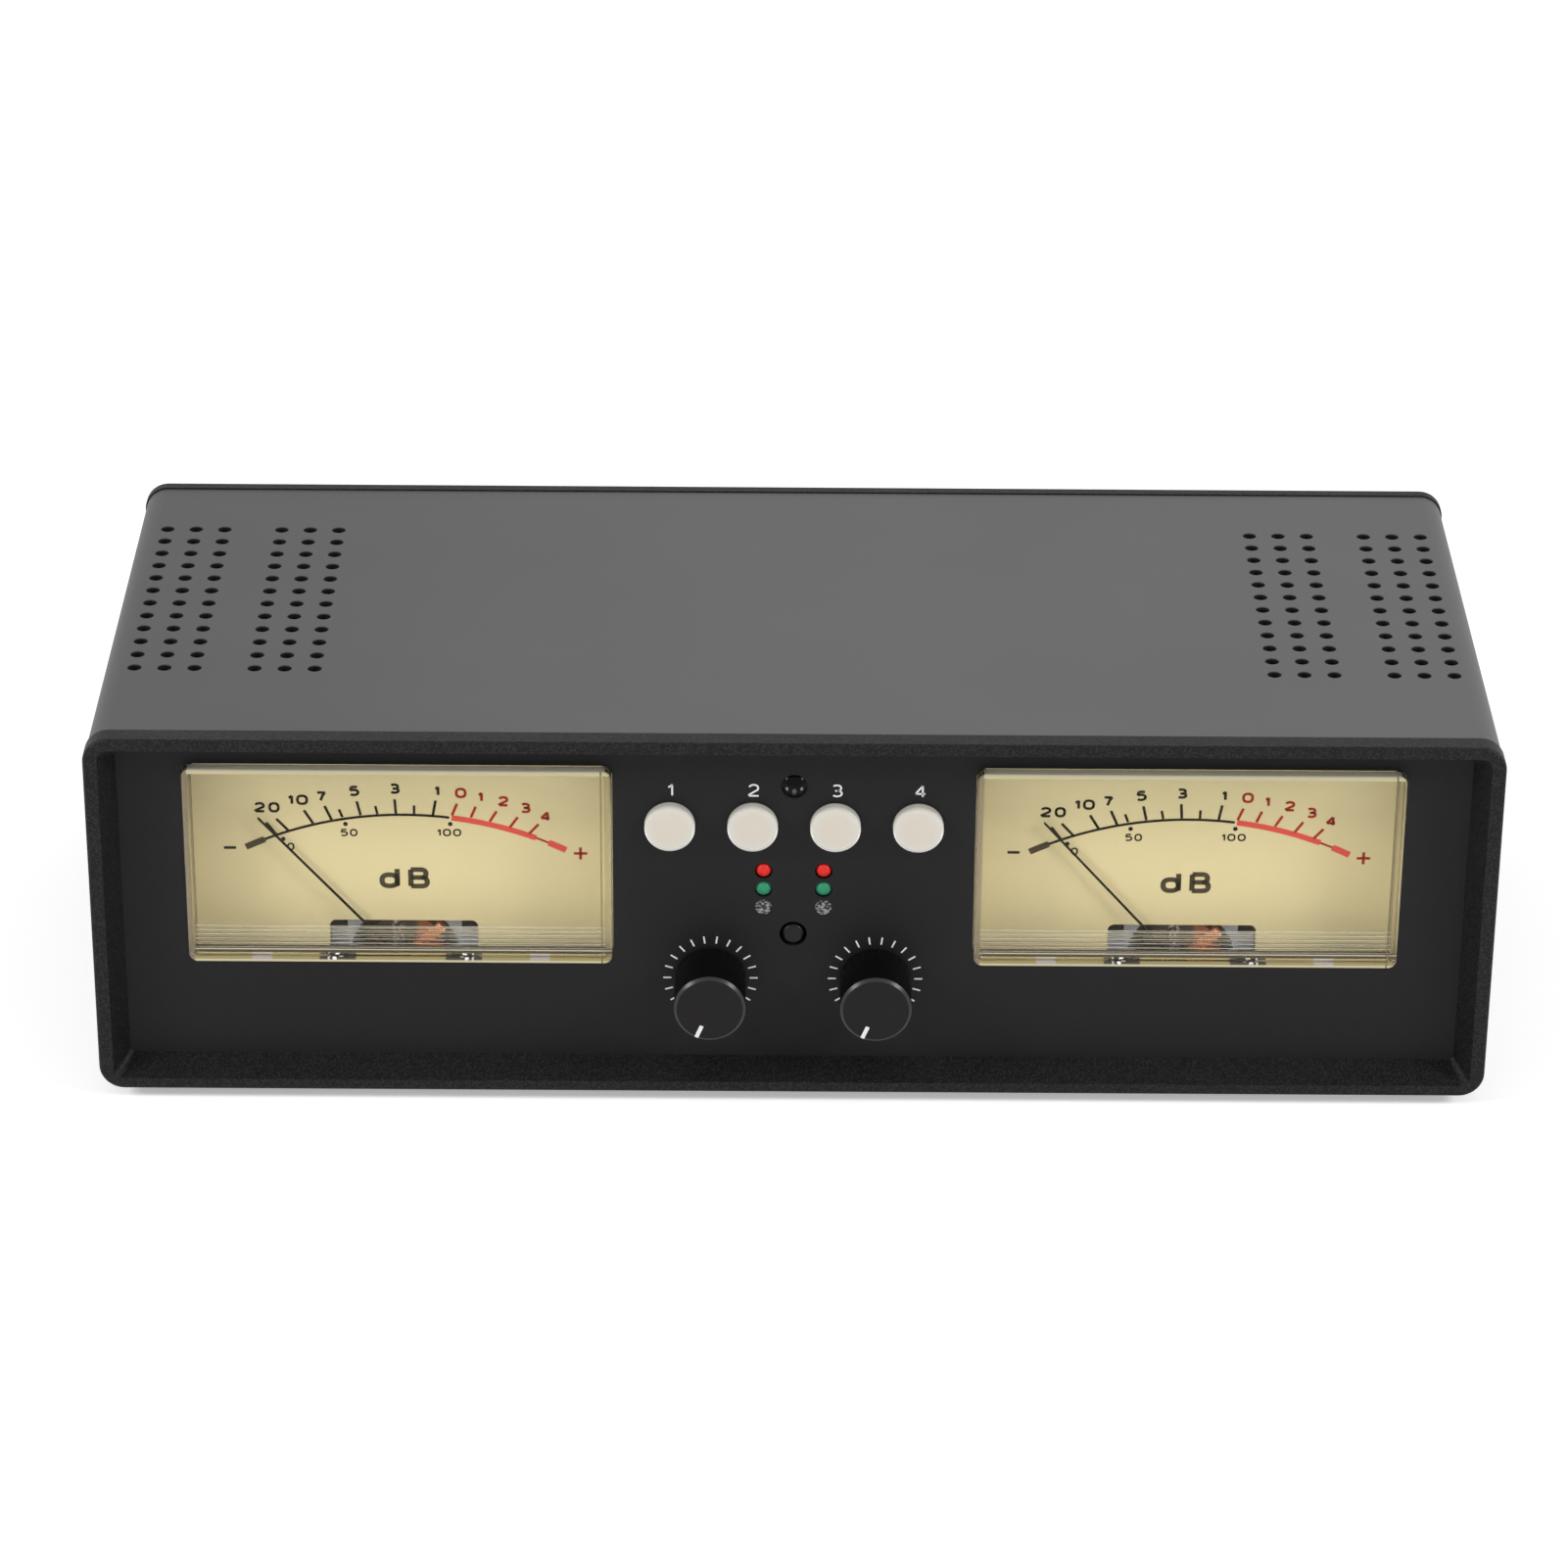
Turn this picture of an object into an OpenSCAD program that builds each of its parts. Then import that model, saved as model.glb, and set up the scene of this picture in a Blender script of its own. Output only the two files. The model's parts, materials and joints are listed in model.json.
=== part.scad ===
// Desktop level meter: two moving-coil meters behind clear lenses, four selector buttons, an
// infrared eye, status lamps and two level knobs, in a low vented metal case.
// Lengths are in millimetres. X is to the right, Y runs from the front to the back, Z is up.
// The origin lies on the standing surface, under the middle of the whole object.
// Modules are drawn from the front plane of the front frame (y = 0) and from the underside of
// the case (z = 0), and in_place() moves them to the origin.

/* [Case] */
// Width of the front frame, the widest piece
case_w = 250; // [244:1:300]
// Height of the front frame
case_h = 70.4; // [69.6:0.2:84]
// Depth from the front of the front frame to the back of the rear frame
case_d = 111.2; // [104:0.2:160]
// Radius of the four long corners
corner_r = 4.5; // [3.6:0.1:5.4]
// How far the end frames stand proud of the sleeve
frame_proud = 0.3; // [0.1:0.1:0.5]
// Rounding of the outer edge of the end frames
frame_edge = 0.6; // [0.3:0.1:1]
// Wall of the extruded sleeve
sleeve_wall = 1.8; // [1.4:0.1:2.2]
// Height of the feet under the front frame
foot_h = 2.2; // [1.6:0.1:5]
// Diameter of a foot
foot_d = 12; // [8:0.5:16]
// Distance of the feet from the sides and ends of the case
foot_inset = 16; // [14:0.5:24]

/* [Front frame] */
// Depth of the front frame outside the sleeve
front_lip = 4.2; // [3.6:0.1:5]
// Width of the front face of the frame at the sides
rim_side = 2.6; // [2.2:0.1:3]
// Width of the front face of the frame at the top and the bottom
rim_rail = 2.2; // [2:0.1:2.6]
// Depth of the front panel behind the front of the frame
recess_d = 5.2; // [4.8:0.1:6]
// How far the sloping wall of the recess comes in
bevel_in = 2.6; // [2:0.1:3]
// Wall of the spigot that both frames push into the sleeve
spigot_wall = 1; // [0.8:0.1:1.3]
// Depth of the front frame inside the sleeve, behind its lip
spigot_len = 6; // [5.2:0.2:8]

/* [Panels] */
// Thickness of the front panel
panel_t = 2; // [1.6:0.1:2.5]
// Depth of the rear frame outside the sleeve
rear_lip = 2.6; // [2:0.1:3.4]
// Depth of the rear panel behind the back of the rear frame
rear_recess = 2.5; // [2:0.1:3.5]
// Thickness of the rear panel
rear_panel_t = 2; // [1.8:0.1:2.5]
// Width of the seat that carries the rear panel
rear_seat = 4; // [3.4:0.1:5]
// Clearance between pieces that are fitted by hand
fit = 0.15; // [0.08:0.01:0.22]

/* [Vents] */
// Diameter of a vent hole
vent_d = 2.6; // [1.6:0.1:3.4]
// Sideways pitch of the vent holes
vent_pitch_x = 5.4; // [4.6:0.1:5.5]
// Pitch of the vent holes from front to back
vent_pitch_y = 5.47; // [4.4:0.01:6]
// Vent rows from front to back
vent_rows = 12; // [4:1:13]
// Vent columns in each of the four groups
vent_columns = 3; // [1:1:3]
// Distance of the middle of each pair of groups from the side of the case
vent_side = 22.5; // [22.5:0.5:29]

/* [Meters] */
// Width of the strip of front panel between the two lenses
strip_w = 64.7; // [63.7:0.1:80]
// Distance of each lens from the side of the case
lens_side = 16.85; // [16:0.05:20]
// Distance of the lenses below the top of the case
lens_top = 7.2; // [6:0.1:8]
// Height of the lower edge of the lenses above the underside of the case
lens_foot = 24.6; // [24.4:0.1:25.6]
// How far the lens stands out of the front panel
lens_out = 2.2; // [1.4:0.1:3]
// Radius of the corners of the lens
lens_r = 1.6; // [1.3:0.1:3]
// Side walls of the lens
lens_wall = 1.2; // [0.9:0.1:1.6]
// Front wall of the lens
lens_face_t = 1.5; // [1:0.1:2]
// Pitch of the flutes that veil the movement
flute_pitch = 0.85; // [0.7:0.05:0.9]
// Number of flutes
flutes = 6; // [2:1:7]
// Width of a flute
flute_w = 0.45; // [0.35:0.05:0.65]
// How far a flute stands out of the inside of the lens
flute_h = 0.1; // [0.06:0.01:0.16]
// Height of the lowest flute above the lower edge of the lens
flute_foot = 2.5; // [2:0.05:3]
// Thickness of the lens flange behind the panel
flange_t = 1.5; // [1:0.1:2]
// How far the flange reaches past the lens at the top and the sides
flange_rim = 2.1; // [1.7:0.1:2.3]
// How far the flange reaches below the lens
flange_drop = 17.6; // [17.2:0.1:18]
// Wall of the meter housing
housing_wall = 1.5; // [1.2:0.1:1.8]
// Depth of the dial behind the flange
dial_depth = 4.8; // [4.4:0.1:6]
// Thickness of the dial
dial_t = 0.6; // [0.4:0.1:0.9]
// Half the width of the cut-out in the dial
notch_half_w = 13.4; // [13.2:0.1:16]
// Top of the cut-out above the pivot
notch_top = 7.8; // [7:0.1:9]

/* [Movement] */
// Distance of the pivot below the lower edge of the lens
pivot_below = 4.4; // [4.2:0.1:4.8]
// Distance of the tip of an upright needle below the top of the lens
needle_top = 4.3; // [4:0.1:10]
// Angle of the needle at rest, from upright
needle_rest = -41.4; // [-46:0.1:-38]
// Width of the needle at the hub
needle_w = 0.4; // [0.3:0.05:0.8]
// Thickness of the needle
needle_t = 0.4; // [0.3:0.05:0.5]
// Gap between the needle and the dial
needle_gap = 0.9; // [0.8:0.1:1.2]
// Diameter of the round magnet in the coil
magnet_d = 15.4; // [12:0.2:15.6]
// Length of the magnet and the yoke
magnet_len = 9; // [7:0.5:9.5]
// Gap between the magnet and the coil, and between the coil and the yoke
air_gap = 0.6; // [0.4:0.05:0.65]
// Thickness of the coil winding
coil_t = 0.8; // [0.6:0.05:0.9]
// Width of the coil winding
coil_w = 1.8; // [1.2:0.1:2.2]
// Half the width of the yoke
yoke_half_w = 13.2; // [12.9:0.1:13.2]
// Diameter of the pivot staffs
staff_d = 1.2; // [1:0.1:1.4]
// Diameter of the pivot at the end of a staff
pivot_d = 0.8; // [0.6:0.05:0.9]
// Running clearance of shafts and pivots, on the radius
running = 0.05; // [0.02:0.01:0.08]
// Turns of each hairspring
spring_turns = 3; // [2:1:4]

/* [Buttons] */
// Diameter of a selector button
button_d = 9; // [7:0.1:9.6]
// Sideways pitch of the selector buttons
button_pitch = 14.7; // [13:0.1:14.9]
// Distance of the middle of the selector buttons below the top of the case
button_top = 18.75; // [18.3:0.05:19.3]
// How far the selector buttons stand out of the panel
button_out = 1.8; // [1.2:0.1:2.6]
// Travel of the selector buttons
button_travel = 0.8; // [0.4:0.1:1]
// Diameter of the small mode button
mode_d = 3.8; // [2.6:0.1:4]
// Diameter of the hole round the mode button
mode_hole_d = 4.9; // [4.4:0.1:5.2]
// Height of the mode button
mode_z = 29.9; // [29.5:0.1:30.2]
// Gap between the panel and the control board
board_gap = 7; // [6.8:0.1:8]
// Thickness of the circuit boards
board_t = 1.6; // [1:0.1:2]

/* [Lamps] */
// Diameter of a lamp
lamp_d = 3; // [2.4:0.1:3.2]
// Distance of the lamps from the middle
lamp_x = 5.35; // [4.8:0.05:6]
// Distance of the upper lamps below the top of the case
lamp_top = 27.8; // [27.5:0.1:28.2]
// Pitch of the lamps downwards
lamp_pitch = 3.7; // [3.6:0.05:3.9]
// Diameter of the infrared eye
eye_d = 4.4; // [3.6:0.1:4.6]
// Distance of the infrared eye below the top of the case
eye_top = 10.9; // [10.8:0.1:11.1]

/* [Knobs] */
// Diameter of a knob
knob_d = 12.8; // [12.6:0.1:13.6]
// Length of a knob
knob_len = 11; // [9:0.1:14]
// Gap between a knob and the panel
knob_gap = 0.8; // [0.4:0.1:1.2]
// Distance of the knobs from the middle
knob_x = 14.8; // [14:0.1:16]
// Height of the knobs
knob_z = 20.8; // [20:0.1:21.4]
// Diameter of a knob shaft
shaft_d = 6; // [5:0.1:6.2]
// Outer diameter of the threaded bush round a shaft
bush_d = 7; // [6.8:0.1:7.4]
// Width of a bush nut across its flats
nut_w = 9.6; // [9:0.1:9.8]
// Thickness of a bush nut
nut_t = 2; // [1.6:0.1:2.4]

/* [Rear] */
// Outer diameter of a phono socket
phono_d = 8.3; // [7.6:0.1:8.6]
// Length of a phono socket outside the rear panel
phono_len = 8.5; // [7.5:0.1:10]
// Bore for the centre pin of a phono plug
phono_bore = 3.3; // [3:0.1:3.6]
// Pairs of phono sockets
phono_pairs = 5; // [3:1:5]
// Sideways pitch of the pairs
phono_pitch = 26; // [20:0.5:27]
// Distance between the two sockets of a pair
phono_rise = 14; // [11:0.5:16]
// Bore of the power socket
power_bore = 5.7; // [5:0.1:5.9]
// Distance of the power socket from the side of the case
power_side = 39; // [35:1:41]
// Width of the block that carries a pair of phono sockets
block_w = 12; // [10:0.5:14]
// Depth of that block
block_d = 12; // [9:0.5:15]
// Distance of the main board from the sides of the case
board_side = 25; // [22:1:32]
// Width of the flat cable from a meter
lead_w = 8; // [5:0.5:12]

/* [Hidden] */

$fn = 48;
cut = 1;          // how far a cutter runs past the face that it cuts
clear = 0.2;      // gap between pieces that stand close and never touch
thin = 0.01;      // thickness of the outlines that a hull joins
funnel_fn = 32;

// Heights and depths that follow from the case
sleeve_w = case_w - 2 * frame_proud;
sleeve_h = case_h - 2 * frame_proud;
sleeve_r = corner_r - frame_proud;
bore_w = sleeve_w - 2 * sleeve_wall;
bore_h = sleeve_h - 2 * sleeve_wall;
bore_r = sleeve_r - sleeve_wall;
floor_z = frame_proud + sleeve_wall;
middle_z = case_h / 2;
sleeve_end = case_d - rear_lip;
panel_back = recess_d + panel_t;
spigot_end = front_lip + spigot_len;
spigot_w = bore_w - 2 * fit;
spigot_h = bore_h - 2 * fit;
pocket_w = spigot_w - 2 * spigot_wall;
pocket_h = spigot_h - 2 * spigot_wall;
pocket_r = 1.2;
window_w = case_w - 2 * (rim_side + bevel_in);
window_h = case_h - 2 * (rim_rail + bevel_in);
window_r = 0.9;
mouth_r = 1.9;
knob_reach = knob_len + knob_gap - recess_d;
phono_reach = phono_len - rear_recess;
shift_y = (knob_reach - case_d - phono_reach) / 2;

// Metric screws of 3 mm
screw_d = 3;
screw_bore = screw_d + 2 * running;
screw_head_d = 5.6;
screw_head_t = 1.7;
screw_len = 8;
boss_d = 6.6;
boss_w = 7;
channel_inset = 5.2;
boss_side = 1.2;
front_boss_x = bore_w / 2 - boss_w / 2 - boss_side;
front_boss_y = panel_back + flange_t + boss_w / 2;
frame_room = 12;
channel_start = spigot_end + frame_room;

// Sizes and places of the lenses and needles, from those of the case
lens_w = (case_w - strip_w) / 2 - lens_side;
lens_h = case_h - lens_top - lens_foot;
meter_x = (strip_w + lens_w) / 2;
meter_z = lens_foot + lens_h / 2;
needle_len = lens_h + pivot_below - needle_top;

// Depths in a meter, from the front plane
lens_front = recess_d - lens_out;
lens_inner = lens_front + lens_face_t;
flange_back = panel_back + flange_t;
dial_y = flange_back + dial_depth;
needle_y = dial_y - needle_gap - needle_t;
hub_d = 3.6;
hub_front = needle_y - clear;
hub_back = dial_y + clear / 2;
bridge_t = 1.5;
bridge_gap = 0.7;                      // gap between a bridge and the needle behind it
bridge_y = needle_y - bridge_gap - bridge_t;
bridge_h = 5;
bar_gap = 0.5;                         // gap between the bars of a coil and the magnet
coil_y = dial_y + dial_t + clear;
yoke_y = coil_y + coil_t + bar_gap;
yoke_back = yoke_y + magnet_len;
coil_back = yoke_back + bar_gap + coil_t;
rear_room = 4.4;
housing_back = coil_back + rear_room;
jewel_d = 2.4;
jewel_head_d = 3.4;
jewel_head_t = 0.9;
jewel_seat = 0.9;                     // depth of a pivot in its jewel
jewel_back = hub_front - clear;
rear_staff = 1.6;
rear_jewel = coil_back + rear_staff + clear;
rear_post_d = 5;

// Heights and widths in a meter, from the pivot or the lens
pivot_z = lens_foot - pivot_below;
housing_w = lens_w + 2 * flange_rim;
housing_top = case_h - lens_top + flange_rim;
housing_bottom = lens_foot - flange_drop;
housing_h = housing_top - housing_bottom;
housing_z = (housing_top + housing_bottom) / 2;
housing_r = 2;
opening_w = lens_w - 2 * lens_wall;
opening_h = lens_h - 2 * lens_wall;
inner_r = lens_r - lens_wall + clear;
coil_inner_r = magnet_d / 2 + air_gap;
coil_outer_r = coil_inner_r + coil_t;
yoke_bore_r = coil_outer_r + air_gap + 0.1;
yoke_top = yoke_bore_r + 1.7;
yoke_bottom = pivot_z - housing_bottom - housing_wall - fit;
leg_d = 3.2;
leg_x = yoke_half_w - leg_d / 2 - 0.3;
leg_screw_d = 1.6;
leg_screw_end = housing_back - 1.2;
spring_t = 0.25;
spring_r1 = staff_d / 2 + 0.3;
spring_r2 = 5.6;
stud_d = 0.9;
ledge_w = 2;

// The middle of the front panel
button_z = case_h - button_top;
lamp_z = case_h - lamp_top;
eye_z = case_h - eye_top;
board_front = panel_back + board_gap;
control_gap = 1.5;
control_w = 2 * (meter_x - housing_w / 2 - control_gap);
control_bottom = 5.4;
control_top = housing_top - 0.5;
control_inset = 3.4;
switch_w = 6;
switch_t = 3.5;
switch_y = board_front - switch_t;
plunger_d = 3.5;
plunger_out = 1;
plunger_len = 2.2;
cap_flange_t = 0.8;
cap_flange_d = button_d + 1.6;
pot_w = 11;
pot_h = 12;
pot_gap = 0.6;
pot_y = panel_back + pot_gap;
bush_front = recess_d - nut_t - 0.3;
knob_face = recess_d - knob_gap - knob_len;
knob_cap = 3;
shaft_front = knob_face + knob_cap;
shaft_end = 1.2;                       // from the back of a shaft to the control board
flat_turn = 210;                       // turn of the flat on a shaft, from upright
flat_deep = 1.4;

// The boards and the rear
standoff_w = 5;
standoff_h = board_gap;
main_w = case_w - 2 * board_side;
main_gap = 12;
main_front = housing_back + main_gap;
main_z = floor_z + standoff_h;
main_top = main_z + board_t;
rear_inner = case_d - rear_recess - rear_panel_t;
rear_panel_w = pocket_w - 1;
rear_panel_h = pocket_h - 1;
main_back = rear_inner - 2 * clear;
main_inset = 4;
rear_row = 16;                         // from the rear standoffs to the back of the main board
phono_room = 6.2;                      // from a socket to the end of its block
phono_z = main_top + phono_room;
power_x = case_w / 2 - power_side;
vent_x = case_w / 2 - vent_side;
power_w = 10;
power_h = 11;
power_d = 14;
power_z = main_top + power_h / 2;
power_nose_d = power_bore + 2.3;
power_pin_d = 2;
power_deep = 9;

SIDES = [-1, 1];

// ---- Shared shapes ----

// A flat outline in X and Z, given thickness t towards the back
module upright(t) {
    translate([0, t, 0]) rotate([90, 0, 0]) linear_extrude(t) children();
}

// A round bar along Y, from depth y1 to depth y2
module rod(d, y1, y2) {
    translate([0, y1, 0]) rotate([-90, 0, 0]) cylinder(d = d, h = y2 - y1);
}

// A round bar from depth y1 to depth y2, its front end a cap of a ball of radius dome_r
module domed_rod(d, dome_r, y1, y2) {
    intersection() {
        translate([0, y1 + dome_r, 0]) sphere(r = dome_r);
        rod(d, y1, y1 + dome_r);
    }
    rod(d, y1 + dome_r - thin, y2);
}

// A box centred in X and Z, from depth y1 to depth y2
module slab(w, h, y1, y2) {
    translate([-w / 2, y1, -h / 2]) cube([w, y2 - y1, h]);
}

module rounded_rect(w, h, r) {
    square([w - 2 * r, h], center = true);
    square([w, h - 2 * r], center = true);
    for (x = SIDES, z = SIDES) {
        translate([x * (w / 2 - r), z * (h / 2 - r)]) circle(r);
    }
}

// Section of a block of width w and depth d, with both front edges rounded by e
module soft_section(w, d, e) {
    translate([-w / 2, e]) square([w, d - e]);
    translate([e - w / 2, 0]) square([w - 2 * e, d]);
    for (s = SIDES) {
        translate([s * (w / 2 - e), e]) circle(e);
    }
}

// Round block along Y, with its front edge rounded by e
module soft_puck(r, d, e) {
    rotate([-90, 0, 0]) rotate_extrude() {
        translate([0, e]) square([r, d - e]);
        square([r - e, d]);
        translate([r - e, e]) circle(e);
    }
}

// Block of width w and height h with round corners, its front edge rounded by e
module soft_block(w, h, d, r, e) {
    for (x = SIDES, z = SIDES) {
        translate([x * (w / 2 - r), 0, z * (h / 2 - r)]) soft_puck(r, d, e);
    }
    translate([0, 0, r - h / 2]) linear_extrude(h - 2 * r) soft_section(w, d, e);
    translate([r - w / 2, 0, 0]) rotate([0, 90, 0]) linear_extrude(w - 2 * r) soft_section(h, d, e);
}

// Funnel from a front outline to a back outline, carried on past the front by the cut
module funnel(w1, h1, r1, w2, h2, r2, d) {
    grow_w = (w1 - w2) * cut / d;
    grow_h = (h1 - h2) * cut / d;
    hull() {
        translate([0, -cut, 0]) upright(thin) rounded_rect(w1 + grow_w, h1 + grow_h, r1, $fn = funnel_fn);
        translate([0, d - thin, 0]) upright(thin) rounded_rect(w2, h2, r2, $fn = funnel_fn);
    }
}

// Countersunk screw along +Y, its head flush at y = 0, with a cross for the driver
module countersunk_screw() {
    cross_w = 3;
    cross_t = 0.6;
    cross_deep = 0.9;
    difference() {
        union() {
            rotate([-90, 0, 0]) cylinder(d1 = screw_head_d, d2 = screw_d, h = screw_head_t);
            rod(screw_d, 0, screw_len);
        }
        for (a = [0, 90]) {
            rotate([0, a, 0]) slab(cross_w, cross_t, -cut, cross_deep);
        }
    }
}

// The hole that such a screw lies in, through a sheet of thickness t
module countersink(t) {
    mouth_d = screw_head_d + 2 * running;
    rotate([-90, 0, 0]) cylinder(d1 = mouth_d, d2 = screw_d, h = screw_head_t + running);
    rod(mouth_d, -cut, 0);
    rod(screw_bore, 0, t);
}

module in_place() {
    translate([0, shift_y, foot_h]) children();
}

// Children drawn from the rear plane, y running forwards
module at_rear() {
    translate([0, case_d, 0]) mirror([0, 1, 0]) children();
}

module at_screw_channels() {
    for (x = SIDES, z = SIDES) {
        translate([x * (bore_w / 2 - channel_inset), 0, middle_z + z * (bore_h / 2 - channel_inset)])
            children();
    }
}

module at_front_bosses() {
    for (x = SIDES) {
        translate([x * front_boss_x, front_boss_y, 0]) children();
    }
}

module at_meter(side) {
    translate([side * meter_x, 0, meter_z]) children();
}

module at_pivot(side) {
    translate([side * meter_x, 0, pivot_z]) children();
}

module at_needle(side) {
    at_pivot(side) rotate([0, needle_rest, 0]) children();
}

module at_buttons() {
    for (n = [1 : 4]) {
        translate([(n - 2.5) * button_pitch, 0, button_z]) children();
    }
}

// ---- The case ----

module front_frame() {
    color("#2a2a2a") in_place() difference() {
        translate([0, 0, middle_z]) difference() {
            union() {
                soft_block(case_w, case_h, front_lip, corner_r, frame_edge);
                translate([0, front_lip - thin, 0]) upright(spigot_len + thin)
                    rounded_rect(spigot_w, spigot_h, bore_r - fit);
            }
            funnel(case_w - 2 * rim_side, case_h - 2 * rim_rail, mouth_r,
                window_w, window_h, window_r, recess_d);
            translate([0, recess_d, 0]) upright(spigot_end) rounded_rect(pocket_w, pocket_h, pocket_r);
        }
    }
    color("#2a2a2a") in_place() frame_bosses();
}

// Bosses at the lower corners of the front frame, which its screws go into from below
module frame_bosses() {
    boss_bottom = floor_z + fit + spigot_wall / 2;
    at_front_bosses() difference() {
        translate([-boss_w / 2, -boss_w / 2, boss_bottom]) cube([boss_w, boss_w, screw_len - 1]);
        cylinder(d = screw_bore, h = floor_z + screw_len + 2);
    }
}

module front_panel() {
    color("#2c2c2c") in_place() difference() {
        translate([0, recess_d, middle_z]) upright(panel_t)
            rounded_rect(pocket_w - 2 * fit, pocket_h - 2 * fit, pocket_r);
        translate([0, recess_d - cut, 0]) panel_holes(panel_t + 2 * cut);
    }
}

module panel_holes(t) {
    for (side = SIDES) {
        at_meter(side) upright(t) rounded_rect(lens_w + 2 * fit, lens_h + 2 * fit, lens_r + fit);
        translate([side * knob_x, 0, knob_z]) rod(bush_d + 2 * fit, 0, t);
        for (n = [0 : 2]) {
            translate([side * lamp_x, 0, lamp_z - n * lamp_pitch]) rod(lamp_d + fit, 0, t);
        }
    }
    at_buttons() rod(button_d + 2 * fit, 0, t);
    translate([0, 0, mode_z]) rod(mode_hole_d, 0, t);
    translate([0, 0, eye_z]) rod(eye_d + fit, 0, t);
}

module case_sleeve() {
    color("#6c6c6e") in_place() difference() {
        union() {
            translate([0, front_lip, middle_z]) upright(sleeve_end - front_lip) difference() {
                rounded_rect(sleeve_w, sleeve_h, sleeve_r);
                rounded_rect(bore_w, bore_h, bore_r);
            }
            at_screw_channels() rod(boss_d, channel_start, rear_inner - rear_panel_t);
            screw_channel_webs();
        }
        at_screw_channels() rod(screw_bore, channel_start - cut, case_d);
        vent_holes();
        at_front_bosses() translate([0, 0, frame_proud]) rotate([90, 0, 0]) countersink(sleeve_wall + cut);
    }
}

// Webs that join the screw channels to the side walls, from floor to ceiling side
module screw_channel_webs() {
    web_len = channel_inset + sleeve_wall / 2;
    web_t = 2;
    for (x = SIDES, z = SIDES) {
        translate([x * (bore_w / 2 - channel_inset + web_len / 2), 0,
                middle_z + z * (bore_h / 2 - channel_inset)])
            slab(web_len, web_t, channel_start, rear_inner - rear_panel_t);
    }
}

// Vents in the top of the sleeve, a little behind the middle of its depth
module vent_holes() {
    behind = 3.6;
    first_y = (front_lip + sleeve_end) / 2 + behind - (vent_rows - 1) / 2 * vent_pitch_y;
    for (side = SIDES, group = SIDES, column = [1 : vent_columns], row = [0 : vent_rows - 1]) {
        translate([side * vent_x + group * column * vent_pitch_x, first_y + row * vent_pitch_y,
                case_h - frame_proud - sleeve_wall - cut])
            cylinder(d = vent_d, h = sleeve_wall + 2 * cut);
    }
}

module rear_frame() {
    seat_y = rear_recess + rear_panel_t;
    seat_w = rear_panel_w + 2 * fit;
    seat_h = rear_panel_h + 2 * fit;
    color("#2a2a2a") in_place() difference() {
        at_rear() translate([0, 0, middle_z]) difference() {
            union() {
                soft_block(case_w, case_h, rear_lip, corner_r, frame_edge);
                translate([0, rear_lip - thin, 0]) upright(seat_y + rear_panel_t - rear_lip + thin)
                    rounded_rect(spigot_w, spigot_h, bore_r - fit);
            }
            translate([0, -cut, 0]) upright(seat_y + cut) rounded_rect(seat_w, seat_h, pocket_r);
            upright(2 * seat_y + cut) rear_opening();
        }
        at_screw_channels() rod(screw_bore, rear_inner - 2 * rear_panel_t, case_d);
    }
}

// Opening inside the seat of the rear panel, which leaves a lug at each corner for the screws
module rear_opening() {
    lug = 2 * rear_seat;
    square([rear_panel_w - 2 * rear_seat, rear_panel_h - 2 * lug], center = true);
    square([rear_panel_w - 2 * lug, rear_panel_h - 2 * rear_seat], center = true);
}

module rear_panel() {
    color("#2c2c2c") in_place() difference() {
        at_rear() translate([0, rear_recess, middle_z]) upright(rear_panel_t)
            rounded_rect(rear_panel_w, rear_panel_h, pocket_r);
        at_rear_screws() countersink(rear_panel_t + cut);
        at_phono() rod(phono_d + 2 * fit, rear_inner - cut, case_d);
        translate([power_x, 0, power_z]) rod(power_nose_d + 2 * fit, rear_inner - cut, case_d);
    }
}

// Screw places of the rear panel: the head flush with its outer face, the shank forwards
module at_rear_screws() {
    at_screw_channels() translate([0, case_d - rear_recess, 0]) mirror([0, 1, 0]) children();
}

module case_screws() {
    color("#8a8a8c") in_place() {
        at_rear_screws() countersunk_screw();
        at_front_bosses() translate([0, 0, frame_proud]) rotate([90, 0, 0]) countersunk_screw();
    }
}

// Four feet, the front ones a little further in, clear of the screws of the front frame
module rubber_feet() {
    front_y = foot_inset + foot_d / 2;
    color("#202020") in_place() for (x = SIDES, y = [front_y, case_d - foot_inset]) {
        translate([x * (case_w / 2 - foot_inset), y, -foot_h]) foot();
    }
}

// One foot, standing on z = 0, its lower edge rounded
module foot() {
    edge = 0.8;
    rotate_extrude() {
        translate([0, edge]) square([foot_d / 2, foot_h + frame_proud - edge]);
        square([foot_d / 2 - edge, foot_h + frame_proud]);
        translate([foot_d / 2 - edge, edge]) circle(edge);
    }
}

// ---- A meter ----

module meter_lens(side) {
    edge = 0.5;
    color([0.9, 0.9, 0.85, 0.4]) in_place() at_meter(side) {
        difference() {
            union() {
                translate([0, lens_front, 0]) soft_block(lens_w, lens_h, panel_back - lens_front + thin,
                    lens_r, edge);
                translate([0, panel_back, housing_z - meter_z]) upright(flange_t)
                    rounded_rect(housing_w, housing_h, housing_r);
            }
            translate([0, lens_inner, 0]) upright(flange_back) rounded_rect(opening_w, opening_h, inner_r);
        }
        for (n = [0 : flutes - 1]) {
            translate([0, lens_inner, flute_foot - lens_h / 2 + n * flute_pitch]) flute();
        }
    }
}

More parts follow.
